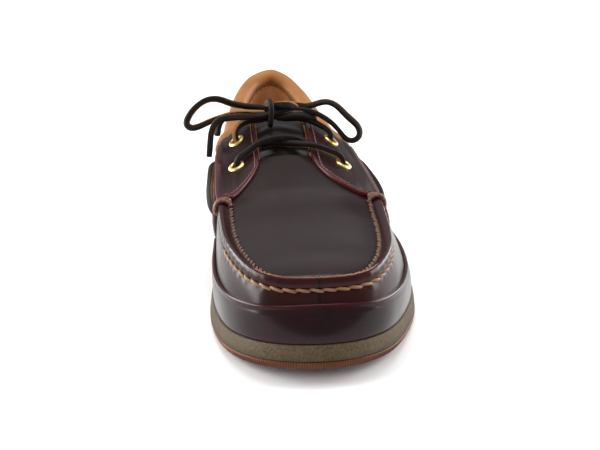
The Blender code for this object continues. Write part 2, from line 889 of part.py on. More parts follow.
def over_throat(x, y, height):
    """Point over the top panel above a plan place, in metres."""
    run, across = 0.55, 0.5
    for _ in range(40):
        place = top_panel(run, across)
        width = top_panel(run, 1.0)[0] - top_panel(run, 0.0)[0]
        run = min(max(run + 0.8 * (y - place[1]) / (1.15 * LENGTH), 0.3), 0.72)
        across = min(max(across + (x - place[0]) / width, 0.0), 1.0)
    return over_top(run, across, height)


# Lace over the throat: across and along from the axis, and height over the top panel, in millimetres
LACE_CROSSINGS = {
    "medial": (
        (-28.0, 4.4, 4.5),
        (-22.0, 7.0, 4.3),
        (-15.5, 10.6, 4.4),
        (-8.0, 12.8, 2.8),
        (0.0, 14.2, 1.6),
        (6.0, 15.0, 0.2),
        (8.6, 15.2, -0.5),
    ),
    "lateral": (
        (25.4, 3.2, 5.0),
        (19.5, 4.4, 4.5),
        (13.0, 6.6, 4.3),
        (5.0, 9.6, 1.6),
        (-3.0, 12.8, -0.3),
        (-10.0, 14.4, -0.5),
        (-14.6, 15.2, -0.5),
    ),
}

# Lace along the quarter, each side: run, climb
SIDE_LACES = {
    "lace_side_medial": (MEDIAL, ((0.455, 0.86), (0.49, 0.89), (0.525, 0.91), (0.56, 0.91), (0.59, 0.90))),
    "lace_side_lateral": (LATERAL, ((0.455, 0.96), (0.49, 0.97), (0.525, 0.97), (0.56, 0.96), (0.59, 0.94))),
}

# Free lace round the knot: millimetres from the axis, the sole's middle and the floor
FREE_LACES = {
    "lace_rise_medial": (
        (-29.1, 28.3, 76.6),
        (-27.0, 29.6, 80.6),
        (-23.6, 31.0, 82.4),
        (-19.2, 32.0, 82.9),
        (-11.5, 33.9, 81.8),
    ),
    "lace_rise_lateral": (
        (24.6, 28.2, 75.9),
        (20.2, 29.2, 79.0),
        (14.5, 31.0, 81.5),
        (8.3, 32.0, 83.0),
        (2.1, 33.0, 83.0),
        (-7.0, 34.6, 81.9),
    ),
    "lace_loop_medial": (
        (-13.1, 35.2, 89.0),
        (-19.3, 37.0, 89.3),
        (-25.0, 37.0, 90.4),
        (-30.7, 36.0, 91.9),
        (-37.5, 35.0, 95.0),
        (-44.4, 33.0, 95.4),
        (-50.8, 31.0, 91.9),
        (-55.3, 29.0, 86.8),
        (-56.9, 27.0, 82.7),
        (-54.1, 26.0, 80.8),
        (-49.0, 27.0, 81.8),
        (-42.7, 28.0, 84.3),
        (-36.3, 30.0, 85.8),
        (-31.1, 31.0, 86.9),
        (-24.8, 32.0, 87.3),
        (-18.5, 32.0, 87.0),
        (-13.3, 32.0, 86.8),
    ),
    "lace_loop_lateral": (
        (-4.2, 37.0, 88.8),
        (0.9, 38.0, 90.0),
        (7.3, 38.0, 89.3),
        (12.9, 37.0, 88.7),
        (18.6, 36.0, 90.4),
        (23.5, 34.0, 92.0),
        (29.1, 32.0, 90.2),
        (33.4, 30.0, 85.9),
        (37.8, 28.0, 80.9),
        (41.0, 26.0, 76.1),
        (40.0, 25.0, 73.1),
        (36.4, 26.0, 73.8),
        (31.3, 27.0, 77.6),
        (26.4, 29.0, 81.1),
        (20.8, 30.0, 84.5),
        (15.1, 31.0, 87.1),
        (8.9, 32.0, 88.3),
        (2.7, 32.6, 88.3),
        (-4.2, 32.8, 87.2),
    ),
    "lace_end_front": (
        (-9.6, 29.6, 86.4),
        (-13.8, 28.8, 85.8),
        (-19.4, 27.6, 86.1),
        (-26.3, 26.0, 86.6),
        (-33.2, 24.0, 86.8),
        (-38.9, 23.0, 85.8),
        (-42.2, 22.0, 82.0),
        (-43.4, 21.4, 76.6),
        (-43.9, 20.9, 71.1),
        (-44.6, 20.4, 65.5),
    ),
    "lace_end_back": (
        (-9.5, 40.0, 86.0),
        (-14.0, 40.3, 85.2),
        (-19.0, 40.4, 84.2),
        (-26.0, 40.2, 83.6),
        (-32.0, 39.6, 84.0),
        (-36.6, 37.4, 82.0),
        (-38.6, 34.0, 78.2),
        (-39.2, 31.6, 74.6),
    ),
    "lace_knot": ((-12.5, 34.6, 87.2), (-10.4, 34.8, 87.2), (-7.2, 34.8, 87.2), (-5.0, 34.8, 87.2)),
}
KNOT_RADII = (1.3, 2.3, 2.3, 1.3)


def add_laces(look, collection):
    """Rawhide lace: crossed strands over the tongue, side runs, knot, loops and ends."""
    strands = []
    for side, rows in LACE_CROSSINGS.items():
        points = [over_throat(x * MM, y * MM, height * MM) for x, y, height in rows]
        strands.append(solid_of(cord_curve("lace_crossing_" + side, points, collection, look)))
    crossing, other = strands
    crossing.name = "lace_crossing"
    union = crossing.modifiers.new("join", "BOOLEAN")
    union.operation = "UNION"
    union.solver = "EXACT"
    union.object = other
    graph = bpy.context.evaluated_depsgraph_get()
    crossing.data = bpy.data.meshes.new_from_object(crossing.evaluated_get(graph))
    crossing.modifiers.clear()
    bpy.data.objects.remove(other)
    seat = GAP + OVERLAY + GAP + CORD / 2 + 0.1 * MM
    for name, (side, rows) in SIDE_LACES.items():
        points = [over_form(side, run, climb, seat) for run, climb in rows]
        solid_of(cord_curve(name, points, collection, look))
    for name, rows in FREE_LACES.items():
        points = [np.array(row) * MM for row in rows]
        cord_curve(name, points, collection, look, KNOT_RADII if name == "lace_knot" else None)


def main():
    for stray in list(bpy.data.objects):
        bpy.data.objects.remove(stray)
    shoe = bpy.data.collections.new("boat_shoe")
    bpy.context.scene.collection.children.link(shoe)
    looks = {
        "outsole": material("gum_rubber", (0.19, 0.06, 0.02), 0.6),
        "midsole": material("taupe_foam", (0.20, 0.14, 0.09), 0.8),
        "insole": material("tan_leather_insole", (0.36, 0.15, 0.05), 0.6),
        "upper": material("burgundy_leather", (0.06, 0.012, 0.014), 0.35),
        "overlay": material("burgundy_leather_panel", (0.07, 0.015, 0.017), 0.3),
        "collar": material("tan_leather", (0.45, 0.19, 0.06), 0.5),
        "tongue": material("dark_leather", (0.03, 0.012, 0.01), 0.4),
        "eyelet": material("brass", (0.80, 0.60, 0.22), 0.3, 1.0),
        "lace": material("rawhide_leather", (0.02, 0.012, 0.01), 0.6),
    }
    add_sole(looks, shoe)
    add_upper(looks["upper"], shoe)
    add_mudguard(looks["overlay"], shoe)
    add_quarter(looks["overlay"], shoe)
    add_eyestay("eyestay_medial", MEDIAL, looks["overlay"], shoe)
    add_eyestay("eyestay_lateral", LATERAL, looks["overlay"], shoe)
    add_collar(looks["collar"], shoe)
    add_tongue(looks["tongue"], shoe)
    cutters = bpy.data.collections.new("cutters")
    bpy.context.scene.collection.children.link(cutters)
    cutters.hide_render = True
    add_eyelets(looks, shoe, cutters)
    add_laces(looks["lace"], shoe)


main()
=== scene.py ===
"""Boat shoe, dressed: leather upper, moccasin rim, rubber sole, brass eyelets and rawhide lace."""

import math

import bmesh
import bpy
import numpy as np
from mathutils import Matrix, Vector


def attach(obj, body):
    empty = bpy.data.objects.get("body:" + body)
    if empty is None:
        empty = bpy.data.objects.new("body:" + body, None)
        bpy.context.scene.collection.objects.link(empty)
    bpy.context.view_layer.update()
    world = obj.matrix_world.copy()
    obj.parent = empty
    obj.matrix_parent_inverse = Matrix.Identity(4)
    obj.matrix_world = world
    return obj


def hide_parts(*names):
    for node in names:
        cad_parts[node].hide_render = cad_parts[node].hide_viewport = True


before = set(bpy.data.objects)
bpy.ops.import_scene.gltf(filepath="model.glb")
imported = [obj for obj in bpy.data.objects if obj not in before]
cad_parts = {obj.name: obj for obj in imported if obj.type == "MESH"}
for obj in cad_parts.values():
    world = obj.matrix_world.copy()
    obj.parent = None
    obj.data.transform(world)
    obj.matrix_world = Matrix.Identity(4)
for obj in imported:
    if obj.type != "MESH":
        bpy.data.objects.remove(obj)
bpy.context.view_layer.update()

MM = 0.001

# Sizes of the shoe, as in its solids
LENGTH = 296 * MM
BALL_WIDTH = 110 * MM
HEEL_HEIGHT = 87 * MM
OVERLAY = 1.6 * MM
GAP = 0.3 * MM
OUTSOLE_EDGE = 4.4 * MM
TOE_SPRING = 9.0 * MM
ARCH_LIFT = 2.0 * MM
HEEL_BEVEL = 2.0 * MM
SPRING_END = 0.28
ARCH_SHARES = (0.46, 0.57, 0.61, 0.72)
BEVEL_START = 0.93
UPPER_INSET = 3.9 * MM
INSOLE_TOP = 4.3 * MM
EDGE_TUCK = 3.4 * MM
RIM_END = 0.415
EYESTAY_END = 0.64
COLLAR_START = 0.646
THROAT_START = 0.52
THROAT_MIDDLE = -3.0 * MM
THROAT_WIDTH = 29.0 * MM
THROAT_LIMITS = {-1: (0.22, 0.46), 1: (0.54, 0.78)}
SHOULDER_DROP = 6.0 * MM
COLLAR_DROP = 10.4 * MM
SHOULDER_REACH = 6.6 * MM
SHOULDER_FLARE = 0.6 * MM
SHOULDER_SINK = 0.4 * MM
WALL_LEAN = 1.3 * MM
PANEL_SINK = 2.4 * MM
MUDGUARD_HEIGHT = 17.8 * MM
QUARTER_FRONT = 0.422
QUARTER_SLANT = 0.075
EYESTAY_CURVE = {-1: 0.55, 1: 0.35}
EYESTAY_FOOT = 1.22
EYESTAY_SHOULDER = 0.18
TONGUE_RUNS = (0.49, 0.665)
TONGUE_ACROSS = (0.14, 0.86)
TONGUE_THICK = 2.6 * MM
TONGUE_SINK = 2.45 * MM

# Lining's depth under the form; size of the holes under the eyelets and how far they reach
LINING_DEPTH = 2.1 * MM
HOLE_RADIUS = 3.1 * MM
HOLE_REACH = 8 * MM

# Lace and stitching
LACE_WIDTH = 3.4 * MM
LACE_THICK = 2.7 * MM
LACE_STEP = 0.7 * MM
KNOT_WIDTH = 4.2 * MM
KNOT_THICK = 3.1 * MM
RIM_PITCH = 6.4 * MM
INNER_PITCH = 3.6 * MM
FINE_PITCH = 2.6 * MM
COLLAR_PITCH = 2.9 * MM
TOE_RIB_PITCH = 1.3 * MM

# Hand-sewn rows: run at which each starts or ends, and runs of the thread wraps at the rim's end
OUTER_ROW_END = 0.262
INNER_ROW_START = 0.085
WRAP_RUNS = ((0.392, 0.402), (0.398, 0.409), (0.409, 0.397), (0.404, 0.414))

# Machine rows: height over the form, distance behind an edge in run, points over which a row is eased
STITCH_HEIGHT = OVERLAY + GAP + 0.02 * MM
ROW_INSET = 3.1 / 330.0
EASE_COUNT = 25

# Leather sheets: places near an edge and start of the even places, in millimetres; rubbed band
EDGE_PLACES = (0.12, 0.3, 0.6, 1.0, 1.6)
EDGE_BAND = 2.4
RUB_WIDTH = 3.1 * MM

# Modelling: distance within which points are merged, margin for comparing shares,
# point counts of round and flat faces, rounds of easing of a lace
WELD = 0.02 * MM
HAIR = 1e-9
SLAB_COLUMNS = 16
TURNED_SIDES = 48
TUBE_SIDES = 8
PATH_EASE = 12

# Sole outline: share of length from the toe, medial and lateral reach as shares of ball width
OUTLINE = (
    (0.000, 0.000, 0.000),
    (0.010, 0.136, 0.136),
    (0.030, 0.236, 0.223),
    (0.070, 0.327, 0.323),
    (0.120, 0.391, 0.395),
    (0.180, 0.427, 0.459),
    (0.250, 0.445, 0.518),
    (0.320, 0.444, 0.550),
    (0.400, 0.418, 0.536),
    (0.500, 0.368, 0.473),
    (0.600, 0.336, 0.409),
    (0.700, 0.318, 0.364),
    (0.800, 0.318, 0.336),
    (0.880, 0.305, 0.312),
    (0.940, 0.250, 0.253),
    (0.980, 0.155, 0.155),
    (1.000, 0.000, 0.000),
)

# Midsole's upper edge over the unbent sole: share of length, share of heel height
SOLE_RISE = (
    (0.00, 0.144),
    (0.15, 0.141),
    (0.32, 0.147),
    (0.50, 0.182),
    (0.70, 0.234),
    (0.85, 0.256),
    (1.00, 0.262),
)

# Shoulder line by run: share of length, reach as share of ball width, share of heel height
SHOULDER = {
    -1: (
        (0.000, 0.0490, 0.000, 0.574),
        (0.050, 0.0524, 0.127, 0.574),
        (0.100, 0.0743, 0.232, 0.578),
        (0.150, 0.1149, 0.300, 0.584),
        (0.200, 0.1622, 0.339, 0.592),
        (0.250, 0.2128, 0.366, 0.602),
        (0.300, 0.2669, 0.379, 0.617),
        (0.350, 0.3209, 0.381, 0.636),
        (0.415, 0.3919, 0.376, 0.666),
        (0.460, 0.4426, 0.373, 0.685),
        (0.520, 0.5068, 0.364, 0.715),
        (0.580, 0.5743, 0.349, 0.770),
        (0.640, 0.6385, 0.327, 0.816),
        (0.700, 0.7095, 0.272, 0.809),
        (0.760, 0.7804, 0.248, 0.826),
        (0.820, 0.8480, 0.211, 0.860),
        (0.880, 0.9122, 0.167, 0.910),
        (0.940, 0.9561, 0.094, 0.970),
        (1.000, 0.9696, 0.000, 1.000),
    ),
    1: (
        (0.000, 0.0490, 0.000, 0.574),
        (0.050, 0.0524, 0.127, 0.574),
        (0.100, 0.0726, 0.236, 0.578),
        (0.150, 0.1115, 0.305, 0.584),
        (0.200, 0.1588, 0.353, 0.592),
        (0.250, 0.2095, 0.379, 0.602),
        (0.300, 0.2635, 0.391, 0.616),
        (0.350, 0.3176, 0.395, 0.632),
        (0.415, 0.3919, 0.398, 0.662),
        (0.460, 0.4426, 0.396, 0.664),
        (0.520, 0.5101, 0.387, 0.678),
        (0.580, 0.5777, 0.359, 0.718),
        (0.640, 0.6486, 0.316, 0.776),
        (0.700, 0.7162, 0.260, 0.775),
        (0.760, 0.7838, 0.236, 0.787),
        (0.820, 0.8514, 0.205, 0.821),
        (0.880, 0.9122, 0.164, 0.876),
        (0.940, 0.9561, 0.094, 0.957),
        (1.000, 0.9696, 0.000, 1.000),
    ),
}

# Swell of the side wall: run, medial and lateral, in millimetres
SWELL = (
    (0.000, 1.6, 1.6),
    (0.150, 1.8, 1.8),
    (0.300, 1.5, 2.8),
    (0.415, 1.0, 2.2),
    (0.550, 2.6, 2.2),
    (0.700, 4.6, 4.4),
    (0.850, 4.8, 4.8),
    (1.000, 4.2, 4.2),
)

# Top panel: run, crown over the sides and backward bow of its lines, in millimetres
TOP_CROWN = (
    (0.000, 0.0, 0.0),
    (0.050, 0.8, 0.0),
    (0.100, 1.6, 0.0),
    (0.200, 3.0, 0.0),
    (0.300, 4.2, 0.0),
    (0.415, 6.0, 0.0),
    (0.520, 10.0, 1.0),
    (0.580, 13.5, 5.0),
    (0.640, 15.0, 13.0),
    (0.720, 17.0, 16.0),
)

# Moccasin rim: outward and upward from its crest line, in millimetres, from the thread groove inward
RIM_SECTION = (
    (1.2, -6.0),
    (0.3, -5.4),
    (1.1, -4.7),
    (1.4, -3.4),
    (1.2, -2.0),
    (0.8, -0.7),
    (0.2, 0.2),
    (-0.8, 0.25),
    (-2.0, -0.3),
    (-3.3, -1.0),
    (-4.5, -1.9),
    (-5.2, -2.9),
    (-5.8, -2.9),
)

# Eyelets: name, side, run, climb
EYELETS = (
    ("eyelet_medial_lower", -1, 0.519, 2.24),
    ("eyelet_medial_upper", -1, 0.592, 2.26),
    ("eyelet_lateral_lower", 1, 0.518, 2.31),
    ("eyelet_lateral_upper", 1, 0.585, 2.39),
)

# Soft hollows and ridges of the vamp, in millimetres: place, reach along X and Y, depth;
# DENT_HEIGHT is how far each reaches up and down
DENT_HEIGHT = 12.0
DENTS = (
    (0.0, -104.0, 52.0, 30.0, 9.0, -0.45),
    (-18.0, -70.0, 56.0, 16.0, 20.0, -0.30),
    (20.0, -66.0, 56.0, 14.0, 22.0, -0.30),
    (3.0, -48.0, 60.0, 26.0, 8.0, 0.28),
    (-6.0, -30.0, 63.0, 30.0, 6.0, -0.30),
    (-42.0, -58.0, 38.0, 8.0, 18.0, -0.45),
    (44.0, -50.0, 38.0, 8.0, 20.0, -0.45),
    (-36.0, -100.0, 36.0, 12.0, 10.0, 0.35),
    (36.0, -98.0, 36.0, 12.0, 10.0, 0.35),
)

# Points of the upper's skin and of its lining: stretches of run and of climb, with their counts
SKIN_RUNS = (
    (0.0, 0.008, 10),
    (0.008, 0.40, 230),
    (0.40, THROAT_START, 50),
    (THROAT_START, EYESTAY_END, 44),
    (EYESTAY_END, 1.0, 50),
)
SKIN_CLIMBS = ((0.0, 0.85, 14), (0.85, 1.0, 7), (1.0, 2.0, 34), (2.0, 3.0, 14))
LINING_RUNS = ((0.0, THROAT_START, 60), (THROAT_START, EYESTAY_END, 16))
LINING_CLIMBS = ((0.06, 1.0, 8), (1.0, 2.0, 9), (2.0, 3.0, 6))

# Section of the collar roll: outward and upward from the shoulder line, in millimetres
COLLAR_LOOP = (
    (3.0, -11.6),
    (4.5, -10.2),
    (5.1, -7.4),
    (4.8, -4.4),
    (3.5, -1.7),
    (1.1, -0.1),
    (-1.5, -0.4),
    (-3.7, -1.9),
    (-4.9, -4.1),
    (-5.0, -6.3),
    (-4.3, -7.9),
    (-3.6, -9.4),
    (-2.4, -10.4),
    (-0.8, -10.6),
    (0.8, -10.6),
    (2.0, -11.2),
)

# Section of the lace: share of its width, share of its thickness, how raw the leather is there
LACE_SECTION = (
    (0.50, -0.28, 1.0),
    (0.50, 0.28, 1.0),
    (0.40, 0.47, 0.15),
    (0.15, 0.50, 0.0),
    (-0.15, 0.50, 0.0),
    (-0.40, 0.47, 0.0),
    (-0.50, 0.28, 0.15),
    (-0.50, -0.28, 0.25),
    (-0.40, -0.47, 0.3),
    (-0.15, -0.50, 0.1),
    (0.15, -0.50, 0.2),
    (0.40, -0.47, 0.9),
)

# Strands over the tongue: eyelet, turn in degrees, then x, y and height over the top in millimetres
LACE_CROSSINGS = {
    "medial": (
        "eyelet_medial_lower",
        (24, -6),
        (
            (-22.0, 7.0, 4.6),
            (-15.5, 10.6, 4.9),
            (-8.0, 12.8, 4.0),
            (0.0, 14.2, 3.0),
            (6.0, 15.0, 1.4),
            (10.6, 15.4, -0.6),
        ),
    ),
    "lateral": (
        "eyelet_lateral_lower",
        (138, 182),
        (
            (19.5, 4.4, 4.9),
            (13.0, 6.6, 4.8),
            (5.0, 9.6, 2.2),
            (-3.0, 12.8, 0.2),
            (-10.0, 14.4, 0.2),
            (-15.6, 15.2, -0.6),
        ),
    ),
}

# Lace along the quarter: side, turn in degrees, then run, climb and height over the form in millimetres
SIDE_LACES = {
    "lace_side_medial": (
        -1,
        (-70, -55),
        (
            (0.441, 0.80, 0.2),
            (0.452, 0.86, 2.6),
            (0.470, 0.90, 3.6),
            (0.51, 0.92, 3.8),
            (0.55, 0.92, 3.7),
            (0.585, 0.91, 3.2),
            (0.603, 0.90, 1.6),
            (0.612, 0.89, -0.4),
        ),
    ),
    "lace_side_lateral": (
        1,
        (25, 10),
        (
            (0.441, 0.90, 0.2),
            (0.452, 0.95, 2.6),
            (0.470, 0.97, 3.6),
            (0.51, 0.98, 3.8),
            (0.55, 0.975, 3.7),
            (0.585, 0.95, 3.2),
            (0.603, 0.93, 1.6),
            (0.612, 0.92, -0.4),
        ),
    ),
}

# Free lace: x from the axis, y from the middle of the sole and z from the floor, in millimetres
LACE_ROUTES = {
    "lace_medial": (
        (-27.0, 29.6, 80.6),
        (-23.6, 31.0, 82.4),
        (-19.2, 32.0, 82.9),
        (-12.5, 33.6, 82.9),
        (-8.2, 35.4, 85.6),
        (-4.2, 37.0, 88.6),
        (0.9, 38.0, 90.0),
        (7.3, 38.0, 89.3),
        (12.9, 37.0, 88.7),
        (18.6, 36.0, 90.4),
        (23.5, 34.0, 92.0),
        (29.1, 32.0, 90.2),
        (33.4, 30.0, 85.9),
        (37.9, 28.2, 81.8),
        (41.0, 26.8, 78.9),
        (42.3, 25.6, 75.4),
        (41.1, 24.8, 72.1),
        (37.7, 24.6, 70.6),
        (34.0, 25.2, 71.6),
        (30.9, 26.8, 75.6),
        (26.6, 28.8, 80.3),
        (20.8, 30.0, 84.5),
        (15.1, 31.0, 87.1),
        (8.9, 32.0, 88.3),
        (2.7, 32.6, 88.3),
        (-4.2, 31.8, 87.4),
        (-9.6, 29.6, 86.6),
        (-13.8, 28.8, 86.0),
        (-19.4, 27.6, 86.1),
        (-26.3, 26.0, 86.6),
        (-33.2, 24.0, 86.8),
        (-38.9, 23.0, 85.8),
        (-42.2, 22.0, 82.0),
        (-43.4, 21.4, 76.6),
        (-43.9, 20.9, 71.1),
        (-44.6, 20.4, 65.5),
    ),
    "lace_lateral": (
        (20.2, 29.2, 79.0),
        (14.5, 31.0, 81.5),
        (8.3, 32.0, 83.0),
        (2.1, 33.0, 83.0),
        (-4.5, 34.4, 83.4),
        (-9.2, 35.6, 86.4),
        (-13.1, 35.8, 89.0),
        (-19.3, 37.0, 89.3),
        (-25.0, 37.0, 90.4),
        (-30.7, 36.0, 91.9),
        (-37.5, 35.0, 95.0),
        (-44.4, 33.0, 95.4),
        (-50.8, 31.0, 91.9),
        (-55.3, 29.0, 86.8),
        (-56.9, 27.0, 82.7),
        (-54.1, 26.0, 80.8),
        (-49.0, 27.0, 81.8),
        (-42.7, 28.0, 84.3),
        (-36.3, 30.0, 85.8),
        (-31.1, 31.0, 86.9),
        (-24.8, 32.0, 87.3),
        (-18.5, 32.0, 87.0),
        (-12.0, 32.4, 86.8),
    ),
    "lace_tail": (
        (-9.5, 38.2, 86.4),
        (-14.0, 39.9, 85.6),
        (-19.0, 40.4, 84.2),
        (-26.0, 40.2, 83.6),
        (-32.0, 39.6, 84.0),
        (-36.6, 37.4, 82.0),
        (-38.6, 34.0, 78.2),
        (-39.2, 31.6, 74.6),
    ),
}

# Wraps of the knot, measured like the free lace, and by how many degrees each is turned
KNOT_WRAPS = (
    (
        (-8.8, 30.4, 80.6),
        (-8.8, 28.0, 82.6),
        (-8.6, 26.8, 85.8),
        (-8.3, 27.0, 89.0),
        (-8.3, 28.8, 91.8),
        (-8.7, 32.2, 93.0),
        (-9.2, 36.0, 92.0),
        (-9.6, 38.8, 88.6),
        (-9.8, 38.4, 84.6),
        (-9.8, 35.6, 81.6),
    ),
    (
        (-6.4, 34.0, 90.4),
        (-3.6, 31.4, 91.2),
        (0.4, 30.8, 91.6),
        (4.2, 32.6, 90.4),
        (6.4, 35.0, 87.8),
        (6.2, 36.6, 85.2),
    ),
    (
        (-4.4, 31.6, 84.2),
        (-0.6, 29.4, 85.2),
        (4.4, 29.0, 86.0),
        (9.6, 29.6, 85.6),
        (14.2, 30.6, 84.2),
        (17.0, 32.2, 82.8),
    ),
)
KNOT_TURNS = ((270, 270), (215, 165), (250, 205))

# Free laces: the eyelet each comes from, the CAD nodes it stands for, its turn in degrees
FREE_LACES = {
    "lace_medial": (
        "eyelet_medial_upper",
        ("lace_rise_medial", "lace_loop_lateral", "lace_end_front"),
        (158, 396),
    ),
    "lace_lateral": ("eyelet_lateral_upper", ("lace_rise_lateral", "lace_loop_medial"), (243, 115)),
    "lace_tail": (None, ("lace_end_back",), (-60, -20)),
}

# Share of the pitch that a stitch shows, where nothing else is said
STITCH_SHARE = 0.72

# Inputs of the stitch nodes and what they hold when nothing is given
STITCH_INPUTS = (
    ("Stitch Length", 2.0 * MM),
    ("Thread Radius", 0.3 * MM),
    ("Rise", 0.4 * MM),
    ("Sink", 0.3 * MM),
    ("Slant", 0.0),
)


def read(table, column, at, level=False):
    """Smooth values of a table's column: a monotone cubic through its rows, level at the ends if asked."""
    x = np.array([row[0] for row in table])
    y = np.array([row[column] for row in table])
    step = np.diff(x)
    slope = np.diff(y) / step
    ends = (0.0, 0.0) if level else (slope[0], slope[-1])
    turn = np.r_[ends[0], np.zeros(len(x) - 2), ends[1]]
    for i in range(1, len(x) - 1):
        if slope[i - 1] * slope[i] > 0:
            before = 2 * step[i] + step[i - 1]
            after = step[i] + 2 * step[i - 1]
            turn[i] = (before + after) / (before / slope[i - 1] + after / slope[i])
    at = np.asarray(at, float)
    i = np.clip(np.searchsorted(x, at) - 1, 0, len(step) - 1)
    t = (at - x[i]) / step[i]
    start = (1 + 2 * t) * (1 - t) ** 2 * y[i] + t * (1 - t) ** 2 * step[i] * turn[i]
    end = t**2 * (3 - 2 * t) * y[i + 1] - t**2 * (1 - t) * step[i] * turn[i + 1]
    return start + end


def path_lengths(points):
    """Distance of each point from the first, along the points."""
    return np.r_[0, np.cumsum(np.linalg.norm(np.diff(points, axis=0), axis=1))]


def sampled(at, lengths, rows):
    """Rows read at places along lengths, of which there is one for each row."""
    return np.stack([np.interp(at, lengths, column) for column in rows.T], axis=-1)


def fade(at, start, end):
    """0 up to start, 1 from end, smooth between."""
    t = np.clip((np.asarray(at, float) - start) / (end - start), 0.0, 1.0)
    return t * t * (3 - 2 * t)


def bell(at, centre, width):
    """1 at the centre, falling smoothly to 0 about two widths away."""
    return np.exp(-(((np.asarray(at, float) - centre) / width) ** 2))


def spline(points, steps=40, mirrored=True):
    """Centripetal Catmull-Rom curve; mirrored over X = 0 at both ends, or free at them."""
    points = [np.array(point, float) for point in points]
    if mirrored:
        flip = np.array([-1.0, 1.0])
        ends = (points[1] * flip, points[-2] * flip)
    else:
        ends = (2 * points[0] - points[1], 2 * points[-1] - points[-2])
    points = [ends[0], *points, ends[1]]
    curve = []
    for four in zip(points, points[1:], points[2:], points[3:]):
        chords = [math.sqrt(max(np.linalg.norm(b - a), 1e-9)) for a, b in zip(four, four[1:])]
        knots = np.cumsum([0.0, *chords])
        for at in np.linspace(knots[1], knots[2], steps, endpoint=False):
            row = list(four)
            for level in (1, 2, 3):
                row = [
                    (row[i] * (knots[i + level] - at) + row[i + 1] * (at - knots[i]))
                    / (knots[i + level] - knots[i])
                    for i in range(len(row) - 1)
                ]
            curve.append(row[0])
    return np.array([*curve, points[-2]])


def half_outline(side):
    """Shares of run, plan points and inward normals along one side of the sole outline."""
    column = 1 if side < 0 else 2
    curve = spline([(side * row[column] * BALL_WIDTH, (row[0] - 0.5) * LENGTH) for row in OUTLINE])
    lengths = path_lengths(curve)
    along = np.gradient(curve, axis=0)
    along /= np.linalg.norm(along, axis=1)[:, None]
    inward = np.stack([-along[:, 1], along[:, 0]], axis=1) * side
    return lengths / lengths[-1], curve, inward


HALVES = {side: half_outline(side) for side in (-1, 1)}
AXIS_X = -(HALVES[-1][1][:, 0].min() + HALVES[1][1][:, 0].max()) / 2
AXIS = np.array([AXIS_X, 0.0, 0.0])


def length_share(y):
    """0 at the toe, 1 at the heel."""
    return np.clip(y / LENGTH + 0.5, 0.0, 1.0)


def toe_lift(y):
    """Height by which the toe springs off the floor."""
    return TOE_SPRING * np.maximum(0.0, 1 - length_share(y) / SPRING_END) ** 1.7


def ground(y):
    """Underside of the sole."""
    share = length_share(y)
    rise_start, rise_end, fall_start, fall_end = ARCH_SHARES
    arch = ARCH_LIFT * fade(share, rise_start, rise_end) * (1 - fade(share, fall_start, fall_end))
    bevel = HEEL_BEVEL * np.maximum(0.0, (share - BEVEL_START) / (1 - BEVEL_START)) ** 1.5
    return toe_lift(y) + arch + bevel


def feather(y):
    """Upper edge of the midsole."""
    return toe_lift(y) + HEEL_HEIGHT * read(SOLE_RISE, 1, length_share(y))


# The ring runs from the heel (-1) along the medial side to the toe (0),
# and along the lateral side back to the heel (1)
RING = np.linspace(-1.0, 1.0, 1601)
RING_EASE = 9.0


def smooth_round(values):
    """Values along the ring, closed at the heel, evened out over a few samples."""
    reach = int(4 * RING_EASE)
    kernel = np.exp(-0.5 * (np.arange(-reach, reach + 1) / RING_EASE) ** 2)
    kernel /= kernel.sum()
    open_ring = values[:-1]
    padded = np.concatenate([open_ring[-reach:], open_ring, open_ring[:reach]])
    evened = np.stack([np.convolve(column, kernel, mode="valid") for column in padded.T], axis=1)
    return np.concatenate([evened, evened[:1]])


def ring_rows(of_side):
    """Rows for the whole ring from a function of side and runs."""
    runs = np.abs(RING)
    medial, lateral = of_side(-1, runs), of_side(1, runs)
    return smooth_round(np.where((RING < 0)[:, None], medial, lateral))


def outline_rows(side, runs):
    """Plan points and inward normals of the sole outline at runs."""
    at, curve, inward = HALVES[side]
    point = [np.interp(runs, at, curve[:, i]) for i in (0, 1)]
    normal = [np.interp(runs, at, inward[:, i]) for i in (0, 1)]
    normal[0] = np.where((runs == 0) | (runs == 1), 0.0, normal[0])
    length = np.hypot(*normal)
    return np.stack([*point, normal[0] / length, normal[1] / length], axis=1)


OUTLINE_RING = ring_rows(outline_rows)


def crest_rows(side, runs):
    """Points of the shoulder line at runs."""
    rows = SHOULDER[side]
    reach = np.where((runs == 0) | (runs == 1), 0.0, read(rows, 2, runs) * BALL_WIDTH)
    along = (read(rows, 1, runs, level=True) - 0.5) * LENGTH
    return np.stack([side * reach, along, read(rows, 3, runs, level=True) * HEEL_HEIGHT], axis=1)


CREST_RING = ring_rows(crest_rows)
SWELL_RING = ring_rows(lambda side, runs: read(SWELL, 1 if side < 0 else 2, runs, level=True)[:, None] * MM)


def lap(ring):
    """Ring value brought back between -1 and 1."""
    return (np.asarray(ring, float) + 1) % 2 - 1


def run_of(ring):
    """Share of the way from toe to heel, on either side."""
    return np.abs(lap(ring))


def on_ring(rows, ring):
    """Rows of a ring table read at ring values."""
    return sampled(lap(ring), RING, rows)


def outward(ring):
    """Level direction away from the shoe."""
    inward = on_ring(OUTLINE_RING[:, 2:], ring)
    inward /= np.linalg.norm(inward, axis=-1)[..., None]
    return np.concatenate([-inward, np.zeros(inward.shape[:-1] + (1,))], axis=-1)


def up(height):
    """Vector of a height."""
    height = np.asarray(height, float)
    return np.stack([np.zeros_like(height), np.zeros_like(height), height], axis=-1)


def sole_point(ring, inset, height):
    """Point inside the sole outline; height is a function of y."""
    rows = on_ring(OUTLINE_RING, ring)
    normal = rows[..., 2:] / np.linalg.norm(rows[..., 2:], axis=-1)[..., None]
    plan = rows[..., :2] + np.asarray(inset)[..., None] * normal
    return np.concatenate([plan, height(plan[..., 1])[..., None]], axis=-1)


def crest(ring):
    """Point of the shoulder line."""
    return on_ring(CREST_RING, ring)


